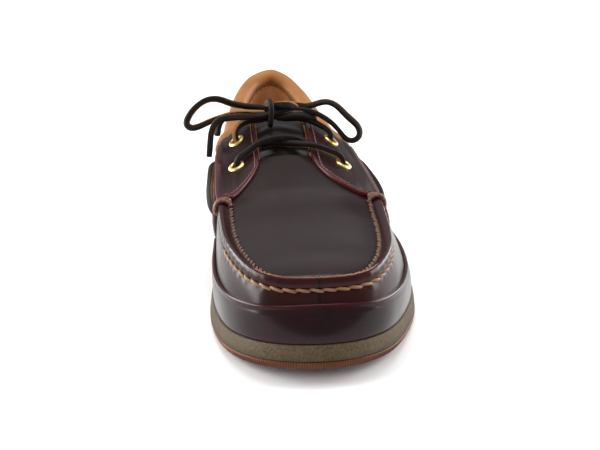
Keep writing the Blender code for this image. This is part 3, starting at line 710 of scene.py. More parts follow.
def wall_foot(ring):
    """Where the side wall meets the midsole."""
    return sole_point(ring, UPPER_INSET + 0 * np.asarray(ring), lambda y: feather(y) + GAP)


def wall_top(ring):
    """Where the side wall turns into the shoulder."""
    run = run_of(ring)
    drop = SHOULDER_DROP + (COLLAR_DROP - SHOULDER_DROP) * fade(run, EYESTAY_END - 0.03, EYESTAY_END)
    lean = WALL_LEAN * (1 - fade(run, EYESTAY_END, EYESTAY_END + 0.05))
    return crest(ring) + outward(ring) * lean[..., None] - up(drop)


def panel_edge(ring):
    """Where the shoulder turns into the top panel."""
    run = run_of(ring)
    reach = SHOULDER_REACH * (1 - 0.35 * (1 - fade(run, 0.0, 0.06)))
    sink = PANEL_SINK * (1 - fade(run, RIM_END, RIM_END + 0.14))
    return crest(ring) - outward(ring) * reach[..., None] - up(sink)


def top_panel(run, across):
    """Point on the crowned top: across 0 at the medial edge, 1 at the lateral edge."""
    run, across = np.broadcast_arrays(np.asarray(run, float), np.asarray(across, float))
    a, b = panel_edge(-run), panel_edge(run)
    hump = 4 * across * (1 - across)
    shift = np.stack([0 * hump, read(TOP_CROWN, 2, run) * hump, read(TOP_CROWN, 1, run) * hump], axis=-1)
    return a + across[..., None] * (b - a) + shift * MM


def throat_across(side, run):
    """Share across the top panel at which the throat line runs."""
    run = np.abs(run)
    a, b = panel_edge(-run)[..., 0], panel_edge(run)[..., 0]
    share = (THROAT_MIDDLE + side * THROAT_WIDTH / 2 - a) / np.maximum(b - a, MM)
    least, most = THROAT_LIMITS[side]
    return np.clip(share, least, most)


def form(ring, climb):
    """Smooth outer form: climb 0 at the sole, 1 under the shoulder, 2 on the top panel, 3 at the throat."""
    ring, climb = np.broadcast_arrays(lap(ring), np.asarray(climb, float))
    low = np.clip(climb, 0, 1)[..., None]
    foot, top, edge, out = wall_foot(ring), wall_top(ring), panel_edge(ring), outward(ring)
    bulge = 4 * low * (1 - low) * on_ring(SWELL_RING, ring)
    wall = foot + low * (top - foot) + bulge * out
    t = np.clip(climb - 1, 0, 1)[..., None]
    corner = crest(ring) + out * SHOULDER_FLARE - up(SHOULDER_SINK + 0 * climb)
    turn = top * (1 - t) ** 2 + corner * 2 * t * (1 - t) + edge * t**2
    share = np.where(ring < 0, throat_across(-1, ring), throat_across(1, ring))
    start = np.where(ring < 0, 0.0, 1.0)
    panel = top_panel(np.abs(ring), start + (np.clip(climb, 2, 3) - 2) * (share - start))
    return np.where((climb <= 1)[..., None], wall, np.where((climb <= 2)[..., None], turn, panel))


def unit(vectors):
    """Vectors of length 1."""
    return vectors / np.maximum(np.linalg.norm(vectors, axis=-1), 1e-12)[..., None]


def form_normal(ring, climb):
    """Direction straight out of the form."""
    ring, climb = np.broadcast_arrays(lap(ring), np.asarray(climb, float))
    along = form(ring + 0.005, climb) - form(ring - 0.005, climb)
    inside = np.where(np.abs(ring) < 0.01, np.where(ring < 0, -0.01, 0.01), ring)
    inside = np.clip(inside, -0.99, 0.99)
    over = form(inside, np.minimum(climb + 0.04, 3.0)) - form(inside, np.maximum(climb - 0.04, 0.0))
    return unit(np.cross(along, over))


def over_form(ring, climb, height):
    """Point at a height over the form."""
    return form(ring, climb) + np.asarray(height)[..., None] * form_normal(ring, climb)


def over_top(run, across, height):
    """Point at a height over the top panel."""
    run, across = np.broadcast_arrays(np.asarray(run, float), np.asarray(across, float))
    along = top_panel(np.minimum(run + 0.01, 0.72), across) - top_panel(np.maximum(run - 0.01, 0.001), across)
    inside = np.maximum(run, 0.01)
    over = top_panel(inside, np.minimum(across + 0.01, 1)) - top_panel(inside, np.maximum(across - 0.01, 0))
    return top_panel(run, across) + np.asarray(height)[..., None] * unit(np.cross(over, along))


def socket_of(sockets, name):
    """Socket by its identifier, or by its name with underscores for spaces."""
    return next(s for s in sockets if name in (s.identifier, s.name.replace(" ", "_")))


class Wire:
    """An output of a node, with arithmetic that adds Math nodes."""

    def __init__(self, look, socket):
        self.look = look
        self.socket = socket

    def math(self, operation, other=0.0, swapped=False):
        """Math node on this wire and another value, or the other way round."""
        pair = (other, self) if swapped else (self, other)
        return self.look.node("ShaderNodeMath", {"operation": operation}, *pair)

    def __add__(self, other):
        return self.math("ADD", other)

    def __radd__(self, other):
        return self.math("ADD", other)

    def __sub__(self, other):
        return self.math("SUBTRACT", other)

    def __rsub__(self, other):
        return self.math("SUBTRACT", other, swapped=True)

    def __mul__(self, other):
        return self.math("MULTIPLY", other)

    def __rmul__(self, other):
        return self.math("MULTIPLY", other)

    def sine(self):
        return self.math("SINE")

    def limited(self):
        """Kept between 0 and 1."""
        return self.look.node("ShaderNodeClamp", {}, self)

    def between(self, low, high):
        """0 below low, 1 above high, smooth between."""
        settings = {"interpolation_type": "SMOOTHSTEP"}
        return self.look.node("ShaderNodeMapRange", settings, self, low, high, 0.0, 1.0)


class Look:
    """A material and the nodes of its shader."""

    def __init__(self, name):
        self.material = bpy.data.materials.new(name)
        self.material.use_nodes = True
        self.tree = self.material.node_tree
        self.shader = self.tree.nodes["Principled BSDF"]
        self.place = Wire(self, self.tree.nodes.new("ShaderNodeTexCoord").outputs["Object"])

    def plug(self, socket, value):
        """A wire is linked to the socket; a number, vector or colour is set on it."""
        if isinstance(value, Wire):
            self.tree.links.new(value.socket, socket)
        elif isinstance(value, tuple):
            socket.default_value = (*value, 1.0)[: len(socket.default_value)]
        elif value is not None:
            socket.default_value = value

    def node(self, kind, settings, *values, out=None, **named):
        """New node: its settings, then values or wires for its inputs, in order or by name."""
        made = self.tree.nodes.new(kind)
        for key, value in settings.items():
            setattr(made, key, value)
        for socket, value in zip(made.inputs, values):
            self.plug(socket, value)
        for key, value in named.items():
            self.plug(socket_of(made.inputs, key), value)
        return Wire(self, socket_of(made.outputs, out) if out else made.outputs[0])

    def attribute(self, name):
        """The per-point number that the mesh carries under a name."""
        return self.node("ShaderNodeAttribute", {"attribute_name": name}, out="Fac")

    def split(self, vector):
        """The first two parts of a vector."""
        first = self.node("ShaderNodeSeparateXYZ", {}, vector)
        return first, Wire(self, first.socket.node.outputs[1])

    def around(self):
        """The piece's own coordinates: metres along it and across it."""
        return self.split(self.node("ShaderNodeUVMap", {"uv_map": "along"}))

    def stretched(self, x, y, z):
        """Object coordinates scaled by axis, for patterns drawn out one way."""
        return self.node("ShaderNodeMapping", {}, self.place, Scale=(x, y, z))

    def noise(self, size, detail, rough, where=None, warp=0.0):
        """Noise whose blobs are about one size across, in metres."""
        return self.node(
            "ShaderNodeTexNoise",
            {},
            where or self.place,
            Scale=1.0 / size,
            Detail=detail,
            Roughness=rough,
            Distortion=warp,
        )

    def cells(self, size):
        """Small pits about one size apart, in metres."""
        return self.node("ShaderNodeTexVoronoi", {}, self.place, Scale=1.0 / size)

    def blend(self, first, second, share):
        """Colour between two, by share."""
        parts = {"Factor_Float": share, "A_Color": first, "B_Color": second}
        return self.node("ShaderNodeMix", {"data_type": "RGBA"}, out="Result_Color", **parts)

    def bump(self, height, depth, normal=None):
        """Normal from a height of 0 to 1 that stands depth metres proud."""
        return self.node("ShaderNodeBump", {}, Height=height, Distance=depth, Strength=1.0, Normal=normal)

    def finish(self, **values):
        """Values set on the shader's inputs by name."""
        for key, value in values.items():
            self.plug(socket_of(self.shader.inputs, key), value)
        return self.material


def polished_leather(name, core, ridge, gloss, mottle, shine):
    """Pull-up leather: dark where it lies flat, redder on ridges, with a soft wax shine."""
    look = Look(name)
    patches = look.noise(16 * MM, detail=3.0, rough=0.55)
    clouds = look.noise(3.5 * MM, detail=4.0, rough=0.6)
    warm = (look.attribute("warm") + (patches - 0.5) * mottle + (clouds - 0.5) * 0.22).limited()
    color = look.blend(core, ridge, warm)
    streaks = look.noise(2.2 * MM, detail=5.0, rough=0.7, where=look.stretched(1.0, 0.35, 1.0), warp=0.6)
    scuffs = streaks.between(0.60, 0.78)
    color = look.blend(color, tuple(min(1.0, 1.9 * c + 0.012) for c in ridge), scuffs * 0.03)
    pores = look.cells(0.55 * MM)
    grain = look.noise(0.9 * MM, detail=3.0, rough=0.6)
    wave = look.noise(7 * MM, detail=2.0, rough=0.5)
    normal = look.bump(wave, 0.05 * MM)
    normal = look.bump(grain, 0.010 * MM, normal)
    normal = look.bump(pores, 0.006 * MM, normal)
    rough = gloss + (patches - 0.5) * 0.10 + scuffs * 0.05 + (grain - 0.5) * 0.05
    return look.finish(
        Base_Color=color,
        Roughness=rough,
        Normal=normal,
        Specular_IOR_Level=shine,
        Coat_Weight=0.06,
        Coat_Roughness=0.16,
    )


def soft_leather(name, light, dark, rough_mid, crease):
    """Matt tan leather with soft creases and random darker patches, lighter or darker by the mesh's warm
    numbers, which carry painted highlight and shade on the collar and heel lining.
    """
    look = Look(name)
    patches = look.noise(14 * MM, detail=4.0, rough=0.6)
    fine = look.noise(1.6 * MM, detail=4.0, rough=0.65)
    # The warm numbers carry painted highlight and painted shade on the collar roll and heel lining.
    warm = (look.attribute("warm") + (patches - 0.45) * 1.3 + (fine - 0.5) * 0.35).limited()
    color = look.blend(dark, light, warm)
    pores = look.cells(0.8 * MM)
    wrinkles = look.noise(5 * MM, detail=3.0, rough=0.6, where=look.stretched(1.0, 0.4, 1.0))
    normal = look.bump(wrinkles, crease * MM * 3)
    normal = look.bump(fine, 0.05 * MM, normal)
    normal = look.bump(pores, 0.02 * MM, normal)
    rough = rough_mid + (fine - 0.5) * 0.2
    return look.finish(
        Base_Color=color, Roughness=rough, Normal=normal, Specular_IOR_Level=0.2, Sheen_Weight=0.03
    )


def lace_leather():
    """Rawhide lace: waxed dark faces, raw tan edges."""
    look = Look("rawhide_lace")
    raw = look.attribute("raw")
    fibres = look.noise(1.1 * MM, detail=4.0, rough=0.7)
    nap = look.noise(0.35 * MM, detail=3.0, rough=0.7)
    worn = look.noise(6 * MM, detail=3.0, rough=0.6)
    worn_wax = (fibres * 0.7 + worn * 0.5 - 0.25).limited()
    face = look.blend((0.0040, 0.0032, 0.0030), (0.018, 0.0125, 0.0100), worn_wax)
    pale_nap = (fibres * 0.9 + nap * 0.4 - 0.15).limited()
    edge = look.blend((0.085, 0.032, 0.011), (0.42, 0.200, 0.066), pale_nap)
    share = (raw + (fibres - 0.5) * 0.5 + (worn - 0.5) * 0.5).between(0.42, 0.78)
    normal = look.bump(fibres, 0.12 * MM)
    normal = look.bump(nap, 0.05 * MM, normal)
    rough = 0.60 + share * 0.25 + (fibres - 0.5) * 0.2
    color = look.blend(face, edge, share)
    return look.finish(Base_Color=color, Roughness=rough, Normal=normal, Specular_IOR_Level=0.12)


def waxed_thread(name, light, dark, twist):
    """Twisted thread: two plies that run slantwise round it, painted darker in the grooves between them as
    painted shade.
    """
    look = Look(name)
    along, across = look.around()
    plies = (along * (2 * math.pi / twist) + across * 6.283).sine() * 0.5 + 0.5
    fuzz = look.noise(0.5 * MM, detail=3.0, rough=0.7)
    tone = look.noise(9 * MM, detail=2.0, rough=0.5)
    # Painted shade: the colour is darker where the ply bump is low, in the grooves between the plies.
    color = look.blend(dark, light, (plies * 0.55 + fuzz * 0.35 + tone * 0.3 - 0.1).limited())
    normal = look.bump(plies, 0.14 * MM)
    normal = look.bump(fuzz, 0.03 * MM, normal)
    return look.finish(Base_Color=color, Roughness=0.62 + (fuzz - 0.5) * 0.2, Normal=normal)


def sole_rubber(name, base, shade, speck, rough, grain_depth):
    """Matt foam rubber with fine grains and pale specks, darker with painted shade where the mesh's warm
    numbers are high.
    """
    look = Look(name)
    cloud = look.noise(12 * MM, detail=4.0, rough=0.6)
    grains = look.noise(1.0 * MM, detail=4.0, rough=0.8)
    pits = look.cells(0.9 * MM)
    color = look.blend(shade, base, (cloud * 0.5 + (grains - 0.5) * 3.4 + 0.35).limited())
    color = look.blend(color, speck, grains.between(0.60, 0.74) * 0.35)
    # Painted shade: the warm numbers darken the midsole along its seam to the outsole and on its lip under
    # the upper.
    painted_shade = look.attribute("warm")
    color = look.blend(color, tuple(0.45 * c for c in shade), painted_shade * 0.6)
    normal = look.bump(grains, grain_depth)
    normal = look.bump(pits, grain_depth * 0.6, normal)
    rough = rough + (grains - 0.5) * 0.12
    return look.finish(Base_Color=color, Roughness=rough, Normal=normal, Specular_IOR_Level=0.2)


def outsole_rubber():
    """Gum rubber, with the wavy razor cuts of a deck sole on its underside."""
    look = Look("gum_rubber")
    cloud = look.noise(15 * MM, detail=4.0, rough=0.6)
    grains = look.noise(0.7 * MM, detail=3.0, rough=0.7)
    mottle = (cloud * 0.8 + grains * 0.4 - 0.1).limited()
    color = look.blend((0.070, 0.0200, 0.0070), (0.170, 0.052, 0.0180), mottle)
    x, y = look.split(look.place)
    wave = y + (x * (2 * math.pi / (9.0 * MM))).sine() * (1.5 * MM)
    cuts = ((wave * (2 * math.pi / (4.6 * MM))).sine() * 0.5 + 0.5).between(0.90, 0.985)
    under = look.attribute("under")
    # Painted shade: the razor cuts on the underside are coloured darker.
    color = look.blend(color, (0.035, 0.012, 0.006), cuts * under * 0.85)
    # Painted shade: darker in the toe rib grooves and along the top band under the midsole, by the mesh's
    # warm numbers.
    color = look.blend(color, (0.028, 0.009, 0.005), look.attribute("warm") * 0.85)
    normal = look.bump(1 - cuts * under, 0.5 * MM)
    normal = look.bump(grains, 0.03 * MM, normal)
    rough = 0.55 + (grains - 0.5) * 0.15
    return look.finish(Base_Color=color, Roughness=rough, Normal=normal, Specular_IOR_Level=0.15)


def brass():
    """Polished brass, a little clouded."""
    look = Look("polished_brass")
    cloud = look.noise(1.8 * MM, detail=4.0, rough=0.6)
    fine = look.noise(0.25 * MM, detail=3.0, rough=0.6)
    color = look.blend((0.80, 0.53, 0.15), (1.0, 0.77, 0.32), (cloud * 1.2 - 0.1).limited())
    rough = 0.27 + cloud * 0.14
    normal = look.bump(fine, 0.01 * MM)
    return look.finish(Base_Color=color, Roughness=rough, Metallic=1.0, Normal=normal)


LEATHER = polished_leather(
    "burgundy_leather",
    core=(0.0110, 0.0045, 0.0045),
    ridge=(0.032, 0.0052, 0.0056),
    gloss=0.25,
    mottle=0.5,
    shine=0.11,
)
PANEL_LEATHER = polished_leather(
    "burgundy_panel_leather",
    core=(0.0095, 0.0042, 0.0050),
    ridge=(0.046, 0.0068, 0.0078),
    gloss=0.22,
    mottle=0.5,
    shine=0.15,
)
STAY_LEATHER = polished_leather(
    "burgundy_eyestay_leather",
    core=(0.0140, 0.0062, 0.0066),
    ridge=(0.080, 0.0095, 0.0092),
    gloss=0.24,
    mottle=0.5,
    shine=0.15,
)
TONGUE_LEATHER = polished_leather(
    "tongue_leather",
    core=(0.0070, 0.0040, 0.0042),
    ridge=(0.030, 0.0070, 0.0070),
    gloss=0.42,
    mottle=0.8,
    shine=0.12,
)
TAN_LEATHER = soft_leather(
    "tan_collar_leather",
    light=(0.27, 0.110, 0.028),
    dark=(0.15, 0.050, 0.012),
    rough_mid=0.50,
    crease=0.04,
)
LINING_LEATHER = soft_leather(
    "tan_lining_leather",
    light=(0.58, 0.275, 0.105),
    dark=(0.31, 0.125, 0.043),
    rough_mid=0.66,
    crease=0.06,
)
RAW_EDGE = soft_leather(
    "raw_leather_edge",
    light=(0.62, 0.38, 0.25),
    dark=(0.17, 0.065, 0.045),
    rough_mid=0.72,
    crease=0.02,
)
LACE_LEATHER = lace_leather()
RIM_THREAD = waxed_thread(
    "waxed_tan_thread",
    light=(0.31, 0.160, 0.066),
    dark=(0.045, 0.017, 0.0075),
    twist=2.6 * MM,
)
# Painted shade: the rim's waxed thread again, painted darker for the inner row, which lies in shade.
SHADED_RIM_THREAD = waxed_thread(
    "waxed_amber_thread",
    light=(0.145, 0.056, 0.021),
    dark=(0.024, 0.008, 0.005),
    twist=2.2 * MM,
)
FINE_THREAD = waxed_thread(
    "fine_brown_thread",
    light=(0.200, 0.070, 0.055),
    dark=(0.050, 0.014, 0.013),
    twist=0.8 * MM,
)
WRAP_THREAD = waxed_thread(
    "waxed_brown_thread",
    light=(0.165, 0.058, 0.030),
    dark=(0.036, 0.011, 0.008),
    twist=2.2 * MM,
)
TAN_THREAD = waxed_thread(
    "tan_thread",
    light=(0.50, 0.27, 0.12),
    dark=(0.24, 0.105, 0.04),
    twist=0.8 * MM,
)
MIDSOLE_FOAM = sole_rubber(
    "taupe_midsole",
    base=(0.092, 0.064, 0.034),
    shade=(0.030, 0.020, 0.010),
    speck=(0.22, 0.175, 0.12),
    rough=0.74,
    grain_depth=0.20 * MM,
)
GUM_RUBBER = outsole_rubber()
BRASS = brass()


def note(obj, name, values):
    """A number for each vertex, read by the material."""
    layer = obj.data.attributes.new(name, "FLOAT", "POINT")
    layer.data.foreach_set("value", np.asarray(values, np.float32).ravel())


def settle(obj, node):
    """Every finished piece rides on the one body and may stand for CAD nodes."""
    for face in obj.data.polygons:
        face.use_smooth = True
    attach(obj, "root")
    if node:
        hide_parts(*([node] if isinstance(node, str) else node))
    return obj


def add_mesh(name, points, faces, look, uv=None, **notes):
    """Object from points in axis coordinates, with its own map and per-point numbers."""
    points = np.array(points, float).reshape(-1, 3) + AXIS
    mesh = bpy.data.meshes.new(name)
    mesh.from_pydata(points.tolist(), [], [list(map(int, face)) for face in faces])
    mesh.materials.append(look)
    if uv is not None:
        layer = mesh.uv_layers.new(name="along")
        corners = np.empty(len(mesh.loops), np.int32)
        mesh.loops.foreach_get("vertex_index", corners)
        layer.data.foreach_set("uv", np.asarray(uv, np.float32).reshape(-1, 2)[corners].ravel())
    made = bpy.data.objects.new(name, mesh)
    bpy.context.scene.collection.objects.link(made)
    for key, values in notes.items():
        note(made, key, values)
    return made


def mended(obj, turn=True):
    """Doubles merged and, if asked, faces turned outward."""
    body = bmesh.new()
    body.from_mesh(obj.data)
    bmesh.ops.remove_doubles(body, verts=body.verts, dist=WELD)
    bmesh.ops.dissolve_degenerate(body, edges=body.edges, dist=WELD / 2)
    bmesh.ops.delete(body, geom=[v for v in body.verts if not v.link_faces], context="VERTS")
    if turn:
        bmesh.ops.recalc_face_normals(body, faces=body.faces)
        if body.calc_volume(signed=True) < 0:
            bmesh.ops.reverse_faces(body, faces=body.faces)
    body.to_mesh(obj.data)
    body.free()
    return obj


def grid_faces(rows, columns, close_rows=False, close_columns=False, keep=None):
    """Quads of a grid of points listed row by row; only those that keep marks, if it is given."""
    faces = []
    for i in range(rows if close_rows else rows - 1):
        for j in range(columns if close_columns else columns - 1):
            if keep is not None and not keep[i, j]:
                continue
            here, there = i * columns, (i + 1) % rows * columns
            beside = (j + 1) % columns
            faces.append((here + j, here + beside, there + beside, there + j))
    return faces


def shifted(faces, start):
    """The same faces for points that are listed from start on."""
    return [tuple(corner + start for corner in face) for face in faces]


def flipped(faces):
    """The same faces seen from their other side."""
    return [face[::-1] for face in faces]


def listed(*grids):
    """All points of some grids in one list."""
    return np.concatenate([grid.reshape(-1, 3) for grid in grids])


def grid_uv(points):
    """Metres along the rows' direction and across it."""
    points = np.asarray(points)
    along = np.linalg.norm(np.diff(points, axis=0), axis=-1).mean(axis=1)
    across = np.linalg.norm(np.diff(points, axis=1), axis=-1).mean(axis=0)
    u = np.r_[0, np.cumsum(along)]
    v = np.r_[0, np.cumsum(across)]
    return np.stack(np.meshgrid(u, v, indexing="ij"), axis=-1)


def loop_shell(name, loops, look, warm=0.0, **notes):
    """Closed body lofted through closed sections, with its two ends capped."""
    rows, columns = loops.shape[:2]
    faces = grid_faces(rows, columns, close_columns=True)
    faces.append(tuple(range(columns)))
    faces.append(tuple((rows - 1) * columns + j for j in reversed(range(columns))))
    warm = np.broadcast_to(warm, (rows, columns))
    return mended(add_mesh(name, loops, faces, look, uv=grid_uv(loops), warm=warm, **notes))


def join_pieces(pieces, name):
    """The pieces as one object under a new name."""
    bpy.ops.object.select_all(action="DESELECT")
    for piece in pieces:
        piece.select_set(True)
    bpy.context.view_layer.objects.active = pieces[0]
    bpy.ops.object.join()
    pieces[0].name = name
    return pieces[0]


def through(rows, share):
    """Smooth values through evenly spaced rows, at shares of 0 to 1."""
    rows = np.asarray(rows, float)
    last = len(rows) - 1
    rows = np.vstack([2 * rows[0] - rows[1], rows, 2 * rows[-1] - rows[-2]])
    at = np.clip(np.asarray(share, float), 0, 1) * last
    i = np.minimum(at.astype(int), last - 1)
    f = (at - i)[..., None]
    a, b, c, d = rows[i], rows[i + 1], rows[i + 2], rows[i + 3]
    return 0.5 * (2 * b + (c - a) * f + (2 * a - 5 * b + 4 * c - d) * f**2 + (3 * b - a - 3 * c + d) * f**3)


def rimmed(ring):
    """1 where the moccasin rim stands, fading to 0 behind its end."""
    return 1 - fade(run_of(ring), RIM_END - 0.03, RIM_END - 0.002)


def arc_table():
    """Distance along the shoulder line from the toe centre, signed by side."""
    length = path_lengths(CREST_RING)
    return length - np.interp(0.0, RING, length)


ARC = arc_table()


def arc_of(ring):
    """Distance from the toe centre along the shoulder line, in metres."""
    return np.interp(lap(ring), RING, ARC)


def uneven(points, size, seed):
    """Soft unevenness of -1 to 1 over points, with swells about one size long."""
    rng = np.random.default_rng(seed)
    total = np.zeros(points.shape[:-1])
    for _ in range(6):
        direction = rng.normal(size=3)
        direction /= np.linalg.norm(direction)
        wave = 2 * math.pi / (size * rng.uniform(0.7, 1.6))
        total += np.sin(points @ direction * wave + rng.uniform(0, 6.28))
    return total / 6


def rim_point(ring, climb):
    """Point of the moccasin rim, whose inner end meets the top panel."""
    share = np.clip(climb - 1, 0, 1)
    offsets = through([*RIM_SECTION, (-SHOULDER_REACH / MM, -PANEL_SINK / MM)], share) * MM
    place = crest(ring) + outward(ring) * offsets[..., :1] + up(offsets[..., 1])
    end = crest(ring) - outward(ring) * SHOULDER_REACH - up(PANEL_SINK + 0 * share)
    return place + (share**3)[..., None] * (panel_edge(ring) - end)


def upper_skin(ring, climb):
    """Outer face of the upper, with the rim, the puckers of its thread and the centre-front seam."""
    ring, climb = np.broadcast_arrays(lap(ring), np.asarray(climb, float))
    on_rim = ((climb > 1) & (climb < 2)) * rimmed(ring)
    place = form(ring, climb)
    place = place + on_rim[..., None] * (rim_point(ring, climb) - place)
    normal = form_normal(ring, climb)
    arc = arc_of(ring)
    puckers = np.cos(2 * math.pi * arc / RIM_PITCH)
    drawn = bell(climb, 0.99, 0.05) * 0.14 + bell(climb, 1.30, 0.12) * 0.10 + bell(climb, 1.93, 0.08) * 0.16
    drawn = rimmed(ring) * drawn
    seam = bell(arc, 0.0, 0.55 * MM) * 0.42 - bell(arc, 0.0, 2.2 * MM) * 0.16
    seam = seam * fade(climb, 0.1, 0.3) * (1 - fade(climb, 1.55, 1.75))
    swells = uneven(place, size=34 * MM, seed=3) * 0.15 * fade(climb, 0.2, 0.6) * (1 - bell(climb, 1.5, 0.5))
    hollow = dents(place)
    return place + normal * ((puckers * drawn - seam + swells + hollow) * MM)[..., None]


def dents(points):
    """Depth in millimetres of the listed hollows at points."""
    total = np.zeros(points.shape[:-1])
    for x, y, z, wide, long, depth in DENTS:
        away = (points[..., 0] / MM - x) ** 2 / wide**2 + (points[..., 1] / MM - y) ** 2 / long**2
        total += depth * np.exp(-away - (points[..., 2] / MM - z) ** 2 / DENT_HEIGHT**2)
    return total


def eyelet_place(name):
    """Place of an eyelet on the form, and its directions along, across and out."""
    side, run, climb = next(row[1:] for row in EYELETS if row[0] == name)
    ring = side * run
    place = form(ring, climb)
    normal = form_normal(ring, climb)
    along = form(side * (run + 0.01), climb) - place
    along = unit(along - normal * along.dot(normal))
    return place, along, np.cross(normal, along), normal


def off_eyelets(centres):
    """True where a point is clear of every eyelet hole."""
    clear = np.ones(centres.shape[:-1], bool)
    for name, *_ in EYELETS:
        place, _, _, normal = eyelet_place(name)
        away = centres - place
        depth = away @ normal
        plan = np.linalg.norm(away - depth[..., None] * normal, axis=-1)
        clear &= (plan > HOLE_RADIUS) | (np.abs(depth) > HOLE_REACH)
    return clear


def face_centres(points):
    """Middle of each face of a grid of points."""
    return (points[:-1, :-1] + points[1:, :-1] + points[1:, 1:] + points[:-1, 1:]) / 4


def front_panel(front, count, height):
    """Grid over the top panel between the two throat lines, at the runs of front."""
    share = np.linspace(0, 1, count)[None, :]
    first, last = throat_across(-1, front)[:, None], throat_across(1, front)[:, None]
    return over_top(front[:, None], first + share * (last - first), height + 0.0 * share)


def meet_sides(middle, points, rings, front):
    """The front panel's outer columns moved onto the inner edges of the sides."""
    middle[:, 0] = points[np.searchsorted(rings, -front - HAIR), -1]
    middle[:, -1] = points[np.searchsorted(rings, front - HAIR), -1]


def stretches(rows):
    """Places of several stretches end to end, each of them from start to end with count places."""
    parts = [np.linspace(start, end, count) for start, end, count in rows]
    return np.concatenate([parts[0], *[part[1:] for part in parts[1:]]])


def make_upper():
    """Leather skin of the vamp, the moccasin rim and the top panel."""
    runs = stretches(SKIN_RUNS)
    rings = np.concatenate([-runs[::-1], runs[1:]])
    climbs = stretches(SKIN_CLIMBS)
    points = upper_skin(rings[:, None], climbs[None, :])
    keep = off_eyelets(face_centres(points))
    behind = np.minimum(np.abs(rings[:-1]), np.abs(rings[1:])) >= EYESTAY_END - HAIR
    keep &= ~(behind[:, None] & (climbs[:-1] >= 1 - HAIR)[None, :])
    warm = bell(climbs, 1.40, 0.40) * 0.50 * rimmed(rings)[:, None] + 0.16 * (climbs < 1)[None, :]
    warm = warm + 0.30 * bell(arc_of(rings), 14 * MM, 26 * MM)[:, None] * (climbs < 1.8)[None, :]
    seam = bell(arc_of(rings), 0.0, 0.6 * MM)[:, None] * ((climbs > 0.2) & (climbs < 1.5))[None, :]
    warm = warm - 1.2 * seam
    front = runs[runs <= THROAT_START + HAIR]
    middle = front_panel(front, count=26, height=0.0)
    normals = unit(np.cross(np.gradient(middle, axis=1), np.gradient(middle, axis=0)))
    swells = dents(middle) + uneven(middle, size=34 * MM, seed=3) * 0.22
    middle = middle + normals * (swells * MM)[..., None]
    meet_sides(middle, points, rings, front)
    faces = flipped(grid_faces(*points.shape[:2], keep=keep))
    faces += shifted(grid_faces(*middle.shape[:2]), warm.size)
    skin = add_mesh(
        "upper_leather",
        listed(points, middle),
        faces,
        LEATHER,
        warm=np.concatenate([warm.ravel(), np.zeros(middle[..., 0].size)]),
    )
    return settle(mended(skin, turn=False), "upper")


def make_lining():
    """Inner skin of the upper, from the insole up."""
    runs = stretches(LINING_RUNS)
    rings = np.concatenate([-runs[::-1], runs[1:]])
    climbs = stretches(LINING_CLIMBS)
    points = over_form(rings[:, None], climbs[None, :], -LINING_DEPTH + 0 * climbs[None, :])
    front = runs[runs <= THROAT_START + HAIR]
    middle = front_panel(front, count=12, height=-LINING_DEPTH)
    meet_sides(middle, points, rings, front)
    faces = grid_faces(*points.shape[:2], keep=off_eyelets(face_centres(points)))
    faces += shifted(flipped(grid_faces(*middle.shape[:2])), points[..., 0].size)
    every = listed(points, middle)
    skin = add_mesh("vamp_lining", every, faces, LINING_LEATHER, warm=np.full(len(every), 0.2))
    return settle(mended(skin, turn=False), None)


def make_heel_lining():
    """Padded inner face of the back of the shoe, from the collar down to the footbed."""
    rings = np.linspace(-EYESTAY_END + 0.03, -2 + EYESTAY_END - 0.03, 150)
    depth = np.linspace(0, 1, 22)
    out = outward(rings)[:, None, :]
    top = crest(rings)[:, None, :] - out * 4.0 * MM - up(7.6 * MM)
    foot = sole_point(rings, UPPER_INSET + 2.4 * MM + 0 * rings, lambda y: feather(y) + 2.0 * MM)[:, None, :]
    pad = np.sin(math.pi * depth)[None, :, None] * 1.4 * MM * out
    inner = top + depth[None, :, None] * (foot - top) + pad
    creases = uneven(inner, size=22 * MM, seed=9) * 0.5 * np.sin(math.pi * depth)[None, :]
    inner = inner + out * (creases * MM)[..., None]
    # Painted shade: lighter at the collar and darker deeper down towards the footbed.
    warm = 0.35 + 0.4 * (1 - depth)[None, :] + 0 * creases
    faces = grid_faces(*inner.shape[:2])
    skin = add_mesh("heel_lining", inner, faces, LINING_LEATHER, uv=grid_uv(inner), warm=warm)
    return settle(mended(skin, turn=False), None)


def edged(count, length):
    """Shares of 0 to 1 with extra places near both ends."""
    near = np.array([place * MM / length for place in EDGE_PLACES])
    body = np.linspace(EDGE_BAND * MM / length, 1 - EDGE_BAND * MM / length, count)
    return np.concatenate([[0.0], near, body, 1 - near[::-1], [1.0]])


def border(points):
    """Distance of each grid point from the sheet's nearest edge."""
    along = np.linalg.norm(np.diff(points, axis=0), axis=-1)
    across = np.linalg.norm(np.diff(points, axis=1), axis=-1)
    down = np.concatenate([np.zeros((1, points.shape[1])), np.cumsum(along, axis=0)])
    right = np.concatenate([np.zeros((points.shape[0], 1)), np.cumsum(across, axis=1)], axis=1)
    return np.minimum(np.minimum(down, down[-1] - down), np.minimum(right, right[:, -1:] - right))


def eased_form(ring, climb):
    """The outer form with its shoulder rounded over into the top panel."""
    reach = 0.30 * bell(climb, 2.0, 0.35)
    return sum(form(ring, climb + k * reach) for k in (-1.0, -0.5, 0.0, 0.5, 1.0)) / 5


